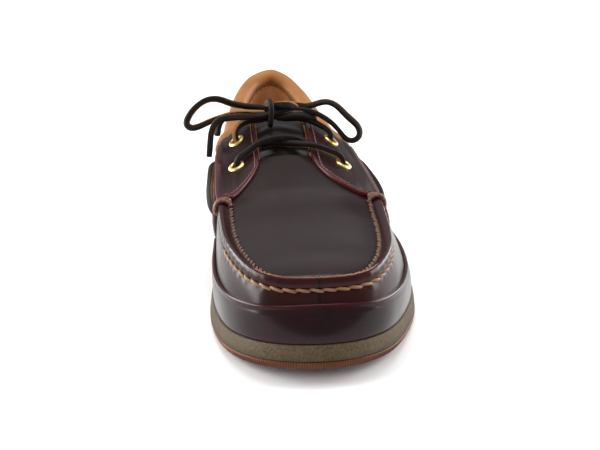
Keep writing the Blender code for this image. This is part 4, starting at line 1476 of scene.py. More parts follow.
def leather_sheet(
    name, place, high, look, warm, dip, low=-0.3 * MM, corner=1.1 * MM, holes=False, rub=0.55
):
    """Closed leather sheet with rounded edges.

    place(height) gives its grid of points at a height over the form;
    dip(points, away) gives its hollows in millimetres, from the distance to its edge.
    """
    flat = place(np.full((1, 1), high))
    away = border(flat)
    rounded = np.sqrt(np.clip(1 - (1 - np.clip(away / corner, 0, 1)) ** 2, 0, 1))
    height = low + (high - low) * rounded + dip(flat, away) * MM
    top, under = place(height), place(np.full((1, 1), low))
    keep = off_eyelets(face_centres(top)) if holes else None
    first = grid_faces(*top.shape[:2], keep=keep)
    second = shifted(flipped(first), away.size)
    worn = np.exp(-((away / RUB_WIDTH) ** 4)) * rub + warm
    uv = grid_uv(flat).reshape(-1, 2)
    made = add_mesh(
        name,
        listed(top, under),
        first + second,
        look,
        uv=np.concatenate([uv, uv]),
        warm=np.concatenate([worn.ravel(), np.full(away.size, 0.6)]),
    )
    return mended(made)


def quarter_front(climb):
    """Run of the quarter's front edge, which slants forward as it rises."""
    return QUARTER_FRONT + QUARTER_SLANT * (1 - climb) ** 1.3


def on_wall(ring, climb, height):
    """Point over the side wall, with its foot kept on the sole's edge."""
    place = over_form(ring, climb, height)
    foot = wall_foot(ring) + outward(ring) * np.asarray(height)[..., None]
    low = (1 - np.clip(climb / 0.12, 0, 1))[..., None]
    return place + low * (foot - place)


def make_mudguard():
    """Band round the toe, with its top edge folded over."""
    rear = QUARTER_FRONT - 0.004
    rings = (2 * edged(count=420, length=280 * MM) - 1) * rear
    shares = edged(count=12, length=MUDGUARD_HEIGHT)
    foot = wall_foot(rings)
    top = MUDGUARD_HEIGHT / (wall_top(rings)[:, 2] - foot[:, 2])
    climb = shares[None, :] * top[:, None]
    slide = fade(np.abs(rings), rear - 0.06, rear)[:, None]
    run = np.abs(rings)[:, None] + slide * (quarter_front(climb) - 0.012 - rear)
    ring = np.sign(rings)[:, None] * run

    def place(height):
        return on_wall(ring, climb, height + 0 * climb)

    def dip(points, away):
        fold = -0.35 * bell(away, 2.6 * MM, 0.5 * MM) * (shares > 0.5)[None, :] * (1 - slide)
        creases = uneven(points, size=26 * MM, seed=5) * 0.20
        return fold + creases * fade(away, 0.5 * MM, 4 * MM)

    warm = 0.06 + 0.34 * fade(shares, 0.90, 0.97)[None, :] + 0.0 * climb
    made = leather_sheet(
        "mudguard_leather", place, OVERLAY + GAP, PANEL_LEATHER, warm, dip, corner=0.7 * MM, rub=0.2
    )
    return settle(made, "mudguard")


def make_quarter():
    """Side and back panel, from one front edge round the heel to the other."""
    shares = edged(count=30, length=40 * MM)
    laps = edged(count=430, length=400 * MM)
    front = QUARTER_FRONT
    rings = -front - laps * (2 - 2 * front)
    run = run_of(rings)[:, None]
    top = 0.975 + 0.145 * (1 - fade(run, EYESTAY_END - 0.05, EYESTAY_END - 0.01))
    climb = shares[None, :] * top
    slide = (1 - fade(run, front, front + 0.09)) * (quarter_front(np.minimum(climb, 1.0)) - front)
    ring = np.where(laps[:, None] < 0.5, rings[:, None] - slide, rings[:, None] + slide)

    def place(height):
        return on_wall(ring, climb, height + 0 * climb)

    def dip(points, away):
        heel_seam = -0.4 * bell(points[..., 0], 0.0, 0.7 * MM) * (points[..., 1] > 100 * MM)
        creases = uneven(points, size=30 * MM, seed=11) * 0.35
        counter = 0.45 * bell(climb, 0.45, 0.3) * fade(run, 0.74, 0.84)
        return heel_seam + counter + creases * fade(away, 0.5 * MM, 5 * MM)

    made = leather_sheet("quarter_leather", place, OVERLAY + GAP, PANEL_LEATHER, 0.12, dip)
    return settle(made, "quarter")


def eyestay_front(side, share):
    """Run of the eyestay's front edge: a slanted line that turns up into the throat edge."""
    slant = EYESTAY_CURVE[side]
    curve = slant * share**1.2 + (1 - slant) * (1 - np.sqrt(np.clip(1 - share**2, 0, 1)))
    return RIM_END + curve * (THROAT_START - RIM_END)


def eyestay_climb(share):
    """Climb of the eyestay at a share of the way from its foot to the throat edge."""
    low = EYESTAY_FOOT + (2 - EYESTAY_FOOT) * share / EYESTAY_SHOULDER
    return np.where(share < EYESTAY_SHOULDER, low, 2 + (share - EYESTAY_SHOULDER) / (1 - EYESTAY_SHOULDER))


def eyestay_ring(side, share, along):
    """Ring value of the eyestay, along 0 at its front edge and 1 at its back edge."""
    front = eyestay_front(side, share)
    return side * (front + (EYESTAY_END - 0.002 - front) * along)


def make_eyestay(name, side):
    """Wing that carries two eyelets, from the shoulder to the throat edge."""
    shares = 1 - (1 - edged(count=64, length=34 * MM)) ** 1.25
    along = edged(count=60, length=62 * MM)
    ring = eyestay_ring(side, shares[:, None], along[None, :])
    climb = np.broadcast_to(eyestay_climb(shares)[:, None], ring.shape)
    normal = form_normal(ring, climb)
    for _ in range(30):
        normal[2:-2] = (normal[1:-3] + normal[2:-2] + normal[3:-1]) / 3
    base, normal = eased_form(ring, climb), unit(normal)

    def place(height):
        return base + normal * (height + 0 * climb)[..., None]

    def dip(points, away):
        groove = -0.22 * bell(away, 3.2 * MM, 0.8 * MM)
        return groove + uneven(points, size=20 * MM, seed=21) * 0.18 * fade(away, 1 * MM, 6 * MM)

    made = leather_sheet(name + "_leather", place, OVERLAY + GAP, STAY_LEATHER, 0.05, dip, holes=True)
    return settle(made, name)


def closed_through(rows, count):
    """Smooth closed section through rows, with count places."""
    steps = 12
    curve = spline([*rows[-2:], *rows, *rows[:2]], steps, mirrored=False)
    inner = curve[2 * steps : -steps]
    length = path_lengths(inner)
    return sampled(np.linspace(0, length[-1], count, endpoint=False), length, inner)


def make_collar():
    """Padded roll along the topline, from one eyestay round the heel to the other."""
    laps = edged(count=260, length=260 * MM)
    start = COLLAR_START - 0.012
    rings = -start - laps * (2 - 2 * start)
    section = closed_through(COLLAR_LOOP, count=56)
    run = run_of(rings)
    swell = 1 - 0.22 * (1 - fade(run, start, start + 0.05))
    out = outward(rings)[:, None, :] * (section[None, :, :1] * swell[:, None, None] * MM)
    tuck = 1.6 * (1 - fade(run, start, start + 0.04))
    rise = (section[None, :, 1] * swell[:, None] - tuck[:, None]) * MM
    loops = crest(rings)[:, None, :] + out + up(rise)
    top = (section[:, 1] > -9)[None, :] * 1.0
    creases = uneven(loops, size=9 * MM, seed=31) * 0.16 + uneven(loops, size=28 * MM, seed=32) * 0.35
    centre = loops.mean(axis=1, keepdims=True)
    loops = loops + unit(loops - centre) * (creases * top * MM)[..., None]
    # Painted highlight: lighter along the top of the roll, and darker on its sides and underside as painted
    # shade.
    warm = 0.42 + 0.40 * bell(section[:, 1], -1.5, 2.6)[None, :] + 0 * creases
    roll = loop_shell("collar_roll", loops, TAN_LEATHER, warm=warm)
    settle(roll, "collar")
    return roll


def make_tongue():
    """Tongue from under the top panel to behind the knot, with soft folds."""
    along = edged(count=60, length=60 * MM)
    across = edged(count=40, length=50 * MM)
    run = TONGUE_RUNS[0] + along * (TONGUE_RUNS[1] - TONGUE_RUNS[0])
    narrow = 0.09 * np.maximum(0.0, (along - 0.8) / 0.2) ** 2
    a, b = TONGUE_ACROSS[0] + narrow, TONGUE_ACROSS[1] - narrow
    share = a[:, None] + (b - a)[:, None] * across[None, :]
    runs = np.broadcast_to(run[:, None], share.shape)

    def place(height):
        return over_top(runs, share, height - TONGUE_SINK - TONGUE_THICK + 0 * share)

    def dip(points, away):
        folds = 0.30 * np.sin(points[..., 1] / MM * 0.62 + 0.9 * np.sin(points[..., 0] / MM * 0.21))
        return (folds + uneven(points, size=13 * MM, seed=41) * 0.45) * fade(away, 0.5 * MM, 5 * MM)

    made = leather_sheet("tongue_leather", place, TONGUE_THICK, TONGUE_LEATHER, 0.05, dip, low=0.0)
    return settle(made, "tongue")


def slab(name, levels, rings, look, relief=None, **notes):
    """Body inside the outline from levels of (inset, height function), closed by its flat faces.

    relief(level, row) moves a level's points; notes give the numbers that the look reads.
    """
    rows = [sole_point(rings, inset + 0 * rings, height) for inset, height in levels]
    if relief is not None:
        rows = [relief(k, row) for k, row in enumerate(rows)]
    side = np.stack(rows, axis=0)
    count = len(rings)
    faces = grid_faces(side.shape[0], count, close_columns=True)
    points = [side.reshape(-1, 3)]
    start = side.shape[0] * count
    half = count // 2
    share = np.linspace(0, 1, SLAB_COLUMNS + 1)[None, :, None]
    for level, flip in ((0, False), (len(levels) - 1, True)):
        ring = side[level]
        first, second = ring[: half + 1], ring[(-np.arange(half + 1)) % count]
        lid = first[:, None, :] * (1 - share) + second[:, None, :] * share
        lid[..., 2] = levels[level][1](lid[..., 1])
        points.append(lid.reshape(-1, 3))
        lids = shifted(grid_faces(half + 1, SLAB_COLUMNS + 1), start)
        faces += flipped(lids) if flip else lids
        start += (half + 1) * (SLAB_COLUMNS + 1)
    every = np.concatenate(points)
    values = {key: make(every) for key, make in notes.items()}
    return mended(add_mesh(name, every, faces, look, **values))


def sole_rings(dense):
    """Places round the sole, close together at the toe where ribs need them."""
    near = np.linspace(0, 0.24, dense)
    far = np.linspace(0.24, 1.0, 130)[1:]
    runs = np.concatenate([near, far])
    return np.concatenate([-runs[::-1], runs[1:-1]])


def make_outsole():
    """Gum outsole: bevelled foot, ribbed toe edge, painted shade in the grooves between the ribs and a
    painted shadow line under the midsole.
    """
    rings = sole_rings(dense=380)
    edge = path_lengths(OUTLINE_RING[:, :2])
    toe_tip = np.interp(0.0, RING, edge)
    arc = np.interp(rings, RING, edge) - toe_tip
    ribs = 0.5 + 0.5 * np.cos(2 * math.pi * arc / TOE_RIB_PITCH)
    toe = np.abs(RING) < 0.2

    def groove_shade(points):
        """1 in the grooves between the toe's ribs."""
        along = np.interp(points[:, 0], OUTLINE_RING[toe, 0], (edge - toe_tip)[toe])
        groove = 0.5 - 0.5 * np.cos(2 * math.pi * along / TOE_RIB_PITCH)
        return groove * (points[:, 1] < -0.36 * LENGTH) * (1 - fade(np.abs(along), 44 * MM, 62 * MM))

    def lifted(height):
        return lambda y: ground(y) + height

    levels = (
        (EDGE_TUCK, lifted(0.0)),
        (2.4 * MM, lifted(0.15 * MM)),
        (1.2 * MM, lifted(0.9 * MM)),
        (0.35 * MM, lifted(1.9 * MM)),
        (0.0, lifted(2.8 * MM)),
        (0.0, lifted(3.7 * MM)),
        (0.25 * MM, lifted(4.15 * MM)),
        (0.6 * MM, lifted(4.4 * MM)),
    )
    strength = (0.0, 0.35, 0.9, 1.0, 0.9, 0.35, 0.0, 0.0)

    def relief(level, row):
        depth = (1 - ribs) * strength[level] * 0.42 * MM * (1 - fade(np.abs(rings), 0.13, 0.22))
        return row - outward(rings) * depth[:, None]

    def under(points):
        return 1.0 * (points[:, 2] < ground(points[:, 1]) + 0.05 * MM)

    # Painted shade: the band just under the midsole and the grooves between the toe ribs are marked for
    # darkening.
    def warm(points):
        seam = 0.8 * (points[:, 2] > ground(points[:, 1]) + 3.9 * MM)
        return np.maximum(seam, 0.9 * groove_shade(points))

    made = slab("outsole_rubber", levels, rings, GUM_RUBBER, relief=relief, under=under, warm=warm)
    return settle(made, "outsole")


def make_midsole():
    """Taupe midsole with a rounded upper lip that the leather sits in."""

    def over_outsole(lift):
        return lambda y: ground(y) + OUTSOLE_EDGE + lift

    def under_upper(lift):
        return lambda y: feather(y) + lift

    levels = (
        (0.5 * MM, over_outsole(0.05 * MM)),
        (0.2 * MM, over_outsole(0.7 * MM)),
        (0.55 * MM, lambda y: 0.5 * (ground(y) + OUTSOLE_EDGE + feather(y))),
        (0.95 * MM, under_upper(-1.5 * MM)),
        (1.15 * MM, under_upper(-0.6 * MM)),
        (1.6 * MM, under_upper(-0.05 * MM)),
        (2.4 * MM, under_upper(0.25 * MM)),
        (3.2 * MM, under_upper(0.15 * MM)),
        (4.2 * MM, under_upper(-0.4 * MM)),
    )

    # Painted shade: a dark line where the midsole meets the outsole, and a darker lip under the upper's edge.
    def warm(points):
        seam = bell(points[:, 2], ground(points[:, 1]) + OUTSOLE_EDGE, 0.6 * MM)
        return seam + 0.9 * (points[:, 2] > feather(points[:, 1]) + 0.1 * MM)

    made = slab("midsole_foam", levels, sole_rings(dense=140), MIDSOLE_FOAM, warm=warm)
    return settle(made, "midsole")


def make_footbed():
    """Leather footbed with a rounded edge, inside the lining."""
    inset = UPPER_INSET + 3.1 * MM

    def cushioned(y):
        return feather(y) + INSOLE_TOP

    levels = (
        (inset, lambda y: feather(y) + GAP),
        (inset, lambda y: feather(y) + INSOLE_TOP - 1.2 * MM),
        (inset + 0.5 * MM, lambda y: feather(y) + INSOLE_TOP - 0.3 * MM),
        (inset + 1.6 * MM, cushioned),
    )

    def warm(points):
        return 0.45 + 0 * points[:, 0]

    made = slab("footbed_leather", levels, sole_rings(dense=90), LINING_LEATHER, warm=warm)
    return settle(made, "insole")


def turned_ring(name, profile, place, along, over, normal, look):
    """Closed ring of a profile of (radius, height) turned about a normal."""
    angles = np.linspace(0, 2 * math.pi, TURNED_SIDES, endpoint=False)
    around = along[None, :] * np.cos(angles)[:, None] + over[None, :] * np.sin(angles)[:, None]
    profile = closed_through(profile, count=34)
    loops = place + around[:, None, :] * profile[None, :, :1] + normal * profile[None, :, 1:]
    faces = grid_faces(TURNED_SIDES, len(profile), close_rows=True, close_columns=True)
    return mended(add_mesh(name, loops, faces, look, uv=grid_uv(loops), warm=np.zeros(loops.shape[:2])))


def make_eyelets():
    """Brass eyelets with a rolled flange and a barrel through the leather."""
    seat = OVERLAY + GAP - 0.15 * MM
    profile = (
        (2.35 * MM, seat + 0.55 * MM),
        (2.65 * MM, seat + 0.95 * MM),
        (3.30 * MM, seat + 1.10 * MM),
        (4.20 * MM, seat + 0.85 * MM),
        (4.80 * MM, seat + 0.35 * MM),
        (4.70 * MM, seat - 0.10 * MM),
        (3.20 * MM, seat - 0.10 * MM),
        (2.80 * MM, seat - 0.60 * MM),
        (2.65 * MM, -LINING_DEPTH),
        (2.35 * MM, -LINING_DEPTH),
        (2.25 * MM, -1.0 * MM),
    )
    for name, *_ in EYELETS:
        made = turned_ring(name + "_brass", profile, *eyelet_place(name), BRASS)
        settle(made, name)


def over_throat(x, y, height):
    """Point over the top panel above a plan place, in metres."""
    run, across = 0.55, 0.5
    for _ in range(40):
        place = top_panel(run, across)
        width = top_panel(run, 1.0)[0] - top_panel(run, 0.0)[0]
        run = min(max(run + 0.8 * (y - place[1]) / (1.15 * LENGTH), 0.3), 0.72)
        across = min(max(across + (x - place[0]) / width, 0.0), 1.0)
    return over_top(run, across, height)


def even_path(points):
    """Smooth curve through points, sampled evenly and eased at its bends."""
    curve = spline(points, steps=24, mirrored=False)
    length = path_lengths(curve)
    steps = max(int(length[-1] / LACE_STEP), 4)
    path = sampled(np.linspace(0, length[-1], steps + 1), length, curve)
    for _ in range(PATH_EASE):
        path[1:-1] = (path[:-2] + path[1:-1] + path[2:]) / 3
    return path


def lace_body(name, points, up_hint, turn, seed, width=LACE_WIDTH, thick=LACE_THICK, taper=0.0):
    """Near-square leather lace along points, and its path.

    up_hint is what its waxed face looks towards at the start; turn is by how many degrees
    it is twisted at its start and at its end.
    """
    path = even_path(points)
    tangent = unit(np.gradient(path, axis=0))
    face = np.array(up_hint, float)
    faces_up = []
    for direction in tangent:
        face = face - direction * face.dot(direction)
        face /= np.linalg.norm(face)
        faces_up.append(face)
    faces_up = np.array(faces_up)
    sides = np.cross(tangent, faces_up)
    rng = np.random.default_rng(seed)
    at = np.linspace(0, 1, len(path))
    run = at * len(path) * LACE_STEP
    wander = 0.20 * np.sin(run / (9 * MM) + rng.uniform(0, 6.28))
    angle = np.radians(turn[0] + (turn[1] - turn[0]) * at) + wander
    first = sides * np.cos(angle)[:, None] + faces_up * np.sin(angle)[:, None]
    second = faces_up * np.cos(angle)[:, None] - sides * np.sin(angle)[:, None]
    section = np.array(LACE_SECTION)
    fat = 1 + 0.05 * np.sin(run / (5 * MM) + rng.uniform(0, 6.28))
    ends = 1 - taper * np.maximum(0, (at - 0.97) / 0.03) ** 2
    loops = (
        path[:, None, :]
        + first[:, None, :] * (section[None, :, :1] * (width * fat * ends)[:, None, None])
        + second[:, None, :] * (section[None, :, 1:2] * (thick * fat * ends)[:, None, None])
    )
    raw = np.broadcast_to(section[:, 2], loops.shape[:2])
    made = loop_shell(name, loops, LACE_LEATHER, raw=raw)
    return made, path


def from_eyelet(name, first):
    """Start of a strand that comes up through an eyelet and leans over its flange."""
    place, _, _, normal = eyelet_place(name)
    away = unit(np.array(first) - place)
    return [
        place - normal * 1.6 * MM,
        place + normal * 1.4 * MM + away * 0.2 * MM,
        place + normal * 3.9 * MM + away * 2.6 * MM,
    ]


def make_fixed_laces():
    """Crossed strands over the tongue and the strands that run along the quarter."""
    strands = []
    for side, (eyelet, turn, route) in LACE_CROSSINGS.items():
        points = [over_throat(x * MM, y * MM, height * MM) for x, y, height in route]
        points = [*from_eyelet(eyelet, points[0]), *points]
        strand, _ = lace_body("lace_strand_" + side, points, (0, -0.45, 1), turn, seed=len(side))
        strands.append(strand)
    settle(join_pieces(strands, "lace_over_tongue"), "lace_crossing")
    for name, (side, turn, rows) in SIDE_LACES.items():
        points = [
            form(side * run, climb) + form_normal(side * run, climb) * height * MM
            for run, climb, height in rows
        ]
        outer_face = form_normal(side * 0.52, 0.95)
        strap, _ = lace_body(name + "_strap", points, outer_face, turn, seed=5 + side)
        settle(strap, name)


def make_knot():
    """The knot: three wraps of the lace, one across the others."""
    wraps = []
    for i, route in enumerate(KNOT_WRAPS):
        points = np.array(route) * MM
        wrap, _ = lace_body(
            "knot_wrap_%d" % (i + 1),
            points,
            (0, -1, 0.2),
            KNOT_TURNS[i],
            seed=11 + i,
            width=KNOT_WIDTH,
            thick=KNOT_THICK,
        )
        wraps.append(wrap)
    return settle(join_pieces(wraps, "lace_bow_knot"), "lace_knot")


def make_free_lace():
    """The tied lace: each side's rise, loop and end, and the knot."""
    knot = make_knot()
    for name, (eyelet, nodes, turn) in FREE_LACES.items():
        points = list(np.array(LACE_ROUTES[name]) * MM)
        if eyelet:
            points = from_eyelet(eyelet, points[0]) + points
        piece, path = lace_body(name, points, (0, -0.6, 0.8), turn, seed=len(name), taper=0.12)
        settle(piece, list(nodes))
        world = path + AXIS
        length = float(path_lengths(world)[-1])


def stitch_tree():
    """Geometry Nodes: one thread stitch at each point, along its row and pressed into the leather."""
    tree = bpy.data.node_groups.new("stitch_row", "GeometryNodeTree")
    face = tree.interface
    face.new_socket("Geometry", in_out="INPUT", socket_type="NodeSocketGeometry")
    for label, default in STITCH_INPUTS:
        face.new_socket(label, in_out="INPUT", socket_type="NodeSocketFloat").default_value = default
    face.new_socket("Seed", in_out="INPUT", socket_type="NodeSocketInt").default_value = 7
    face.new_socket("Thread", in_out="INPUT", socket_type="NodeSocketMaterial")
    face.new_socket("Geometry", in_out="OUTPUT", socket_type="NodeSocketGeometry")
    new, link = tree.nodes.new, tree.links.new
    given, result = new("NodeGroupInput"), new("NodeGroupOutput")

    def plug(value, socket):
        if isinstance(value, float):
            socket.default_value = value
        else:
            link(value, socket)

    def math_node(operation, first, second):
        made = new("ShaderNodeMath")
        made.operation = operation
        plug(first, made.inputs[0])
        plug(second, made.inputs[1])
        return made.outputs[0]

    def spot(x, z):
        made = new("ShaderNodeCombineXYZ")
        plug(x, made.inputs[0])
        plug(z, made.inputs[2])
        return made.outputs[0]

    half = math_node("MULTIPLY", given.outputs["Stitch Length"], 0.5)
    back = math_node("MULTIPLY", half, -1.0)
    below = math_node("MULTIPLY", given.outputs["Sink"], -1.0)
    arch = new("GeometryNodeCurveQuadraticBezier")
    arch.inputs["Resolution"].default_value = 8
    top = math_node("ADD", math_node("MULTIPLY", given.outputs["Rise"], 2.0), given.outputs["Sink"])
    link(spot(back, below), arch.inputs["Start"])
    link(spot(0.0, top), arch.inputs["Middle"])
    link(spot(half, below), arch.inputs["End"])
    round_ = new("GeometryNodeCurvePrimitiveCircle")
    round_.inputs["Resolution"].default_value = 7
    link(given.outputs["Thread Radius"], round_.inputs["Radius"])
    tube = new("GeometryNodeCurveToMesh")
    link(arch.outputs[0], tube.inputs["Curve"])
    link(round_.outputs[0], tube.inputs["Profile Curve"])
    tube.inputs["Fill Caps"].default_value = True
    soft = new("GeometryNodeSetShadeSmooth")
    link(tube.outputs[0], soft.inputs["Geometry"])

    def stored(label):
        made = new("GeometryNodeInputNamedAttribute")
        made.data_type = "FLOAT_VECTOR"
        made.inputs["Name"].default_value = label
        return made.outputs["Attribute"]

    lie = new("FunctionNodeAlignRotationToVector")
    lie.axis = "X"
    link(stored("row_direction"), lie.inputs["Vector"])
    stand = new("FunctionNodeAlignRotationToVector")
    stand.axis = "Z"
    stand.pivot_axis = "X"
    link(lie.outputs[0], stand.inputs["Rotation"])
    link(stored("row_normal"), stand.inputs["Vector"])
    wobble = new("FunctionNodeRandomValue")
    wobble.data_type = "FLOAT"
    socket_of(wobble.inputs, "Min_001").default_value = -0.05
    socket_of(wobble.inputs, "Max_001").default_value = 0.05
    link(given.outputs["Seed"], wobble.inputs["Seed"])
    slant = math_node("ADD", given.outputs["Slant"], socket_of(wobble.outputs, "Value_001"))
    turn = new("ShaderNodeCombineXYZ")
    link(slant, turn.inputs[2])
    turn_rotation = new("FunctionNodeEulerToRotation")
    link(turn.outputs[0], turn_rotation.inputs[0])
    both = new("FunctionNodeRotateRotation")
    both.rotation_space = "LOCAL"
    link(stand.outputs[0], both.inputs["Rotation"])
    link(turn_rotation.outputs[0], both.inputs["Rotate By"])
    place = new("GeometryNodeInstanceOnPoints")
    link(given.outputs["Geometry"], place.inputs["Points"])
    link(soft.outputs[0], place.inputs["Instance"])
    link(both.outputs[0], place.inputs["Rotation"])
    real = new("GeometryNodeRealizeInstances")
    link(place.outputs[0], real.inputs[0])
    dressed = new("GeometryNodeSetMaterial")
    link(real.outputs[0], dressed.inputs["Geometry"])
    link(given.outputs["Thread"], dressed.inputs["Material"])
    link(dressed.outputs[0], result.inputs[0])
    return tree


STITCHES = stitch_tree()


def stitch_row(
    name,
    path,
    normals,
    pitch,
    thread,
    radius,
    length=None,
    rise=0.3 * MM,
    sink=0.25 * MM,
    slant=0.0,
    centred=None,
):
    """A row of stitches along a dense path; centred is the distance at which one stitch sits."""
    steps = path_lengths(path)
    first = pitch / 2 if centred is None else centred % pitch
    at = np.arange(first, steps[-1], pitch)
    points = sampled(at, steps, path)
    standing = unit(sampled(at, steps, normals))
    along = unit(sampled(at, steps, np.gradient(path, axis=0)))
    mesh = bpy.data.meshes.new(name)
    mesh.from_pydata((points + AXIS).tolist(), [], [])
    for label, values in (("row_direction", along), ("row_normal", standing)):
        layer = mesh.attributes.new(label, "FLOAT_VECTOR", "POINT")
        layer.data.foreach_set("vector", values.astype(np.float32).ravel())
    seeds = bpy.data.objects.new(name + "_points", mesh)
    bpy.context.scene.collection.objects.link(seeds)
    sewing = seeds.modifiers.new("stitches", "NODES")
    sewing.node_group = STITCHES
    wanted = {
        "Stitch Length": length or STITCH_SHARE * pitch,
        "Thread Radius": radius,
        "Rise": rise,
        "Sink": sink,
        "Slant": slant,
        "Seed": len(name),
        "Thread": thread,
    }
    for item in STITCHES.interface.items_tree:
        if item.in_out == "INPUT" and item.name in wanted:
            sewing[item.identifier] = wanted[item.name]
    graph = bpy.context.evaluated_depsgraph_get()
    made = bpy.data.objects.new(name, bpy.data.meshes.new_from_object(seeds.evaluated_get(graph)))
    bpy.context.scene.collection.objects.link(made)
    bpy.data.objects.remove(seeds)
    for label in ("row_direction", "row_normal"):
        if label in made.data.attributes:
            made.data.attributes.remove(made.data.attributes[label])
    return settle(made, None)


def skin_row(rings, climb):
    """Dense path over the upper's skin with its normals."""
    climb = climb + 0 * rings
    normal = form_normal(rings, climb)
    step = 0.02
    on_rim = (climb > 1) & (climb < 2)
    along = upper_skin(rings + 0.002, climb) - upper_skin(rings - 0.002, climb)
    over = upper_skin(rings, climb + step) - upper_skin(rings, climb - step)
    normal = np.where(on_rim[:, None], unit(np.cross(along, over)), normal)
    return upper_skin(rings, climb), normal


def side_name(side):
    """Name of a side, -1 being the medial one."""
    return "medial" if side < 0 else "lateral"


def make_rim_thread():
    """The two hand-sewn rows of the rim: one in the groove under it, one against the top panel."""
    rings = np.linspace(-OUTER_ROW_END, OUTER_ROW_END, 1400)
    path, _ = skin_row(rings, 1.05)
    path = path + outward(rings) * 0.35 * MM
    stitch_row(
        "rim_thread_outer",
        path,
        unit(outward(rings) + up(0.25 + 0 * rings)),
        RIM_PITCH,
        RIM_THREAD,
        length=6.5 * MM,
        radius=0.86 * MM,
        rise=0.70 * MM,
        sink=0.65 * MM,
        slant=-0.20,
        centred=-arc_of(-OUTER_ROW_END),
    )
    for side in (-1, 1):
        rings = side * np.linspace(INNER_ROW_START, RIM_END - 0.012, 900)
        path, _ = skin_row(rings, 1.90)
        stitch_row(
            "rim_thread_inner_" + side_name(side),
            path,
            unit(up(1.0 + 0 * rings) - 0.35 * outward(rings)),
            INNER_PITCH,
            SHADED_RIM_THREAD,
            length=4.4 * MM,
            radius=0.72 * MM,
            rise=0.60 * MM,
            sink=0.50 * MM,
            slant=0.50 * side,
        )


def tube(name, path, radius, look, flat=1.0, hint=(0, 0, 1)):
    """Round or flattened cord along a path, its ends drawn in."""
    tangent = unit(np.gradient(path, axis=0))
    side = unit(np.cross(tangent, np.broadcast_to(np.array(hint, float), path.shape)))
    stand = np.cross(side, tangent)
    angles = np.linspace(0, 2 * math.pi, TUBE_SIDES, endpoint=False)
    at = np.linspace(0, 1, len(path))
    thin = radius * np.sqrt(np.clip(np.minimum(at, 1 - at) / 0.04, 0.08, 1))
    level = side[:, None, :] * np.cos(angles)[None, :, None]
    upright = stand[:, None, :] * flat * np.sin(angles)[None, :, None]
    return loop_shell(name, path[:, None, :] + thin[:, None, None] * (level + upright), look)


def make_thread_wraps():
    """Doubled thread bound round the rim's end on each side."""
    share = np.linspace(0, 1, 40)
    climb = 1.03 + 0.9 * share
    for side in (-1, 1):
        pieces = []
        for k, (start, end) in enumerate(WRAP_RUNS):
            path, normal = skin_row(side * (start + (end - start) * share), climb)
            lift = 1.2 + 0.6 * np.sin(math.pi * share) + 0.5 * (k % 2)
            sunk = np.abs(2 * share - 1) ** 8
            path = path + normal * ((lift - sunk) * MM)[:, None]
            name = "wrap_%s_%d" % (side_name(side), k)
            pieces.append(tube(name, path, 1.05 * MM, WRAP_THREAD, hint=(0, 1, 0)))
        settle(join_pieces(pieces, "rim_wrap_" + side_name(side)), None)


def make_raw_edge():
    """Pared edge of the rim's leather, which shows as a thin pale line along its crest."""
    rings = np.linspace(-0.13, 0.13, 500)
    climb = 1.52 + 0.012 * np.sin(rings * 310) * np.sin(rings * 47)
    path, normal = skin_row(rings, climb)
    path = path + normal * (0.16 + 0.18 * np.sin(rings * 530) * np.sin(rings * 171))[:, None] * MM
    settle(tube("rim_raw_edge", path, 0.40 * MM, RAW_EDGE, flat=0.8), None)


def eased_path(path):
    """Path evened out over EASE_COUNT points, with its ends held."""
    reach = EASE_COUNT // 2
    kernel = np.ones(EASE_COUNT) / EASE_COUNT
    columns = [np.convolve(np.pad(column, reach, mode="edge"), kernel, mode="valid") for column in path.T]
    return np.array(columns).T


def make_eyestay_stitches(side):
    """Rows along the front edge and the throat edge of an eyestay, and along its foot."""
    share = np.linspace(0.10, 0.90, 260)
    ring = eyestay_ring(side, share, 0.0) + side * ROW_INSET
    climb = eyestay_climb(share)
    normal = form_normal(ring, climb)
    front = eased_form(ring, climb) + normal * STITCH_HEIGHT
    along = np.linspace(0.06, 0.97, 240)
    throat_ring = side * (THROAT_START + 0.010 + (EYESTAY_END - THROAT_START - 0.014) * along)
    throat_climb = np.full(len(along), 2.86)
    throat = over_form(throat_ring, throat_climb, STITCH_HEIGHT + 0 * throat_climb)
    path = eased_path(np.concatenate([front, throat]))
    normals = np.concatenate([normal, form_normal(throat_ring, throat_climb)])
    name = "eyestay_stitches_" + side_name(side)
    stitch_row(name, path, normals, FINE_PITCH, FINE_THREAD, radius=0.27 * MM)
    ring = side * np.linspace(RIM_END + 0.022, EYESTAY_END - 0.008, 300)
    climb = np.full(len(ring), 1.31)
    normals = form_normal(ring, climb)
    path = eased_form(ring, climb) + normals * STITCH_HEIGHT
    name = "eyestay_outer_stitches_" + side_name(side)
    stitch_row(name, path, normals, FINE_PITCH, FINE_THREAD, radius=0.27 * MM)


def make_quarter_stitches(side):
    """Double row behind the quarter's front edge."""
    climb = np.linspace(0.06, 0.99, 200)
    for k, back in enumerate((0.010, 0.016)):
        ring = side * (quarter_front(climb) + back)
        path = over_form(ring, climb, STITCH_HEIGHT + 0 * climb)
        name = "quarter_stitches_%s_%d" % (side_name(side), k)
        normals = form_normal(ring, climb)
        stitch_row(name, path, normals, FINE_PITCH, FINE_THREAD, radius=0.25 * MM)


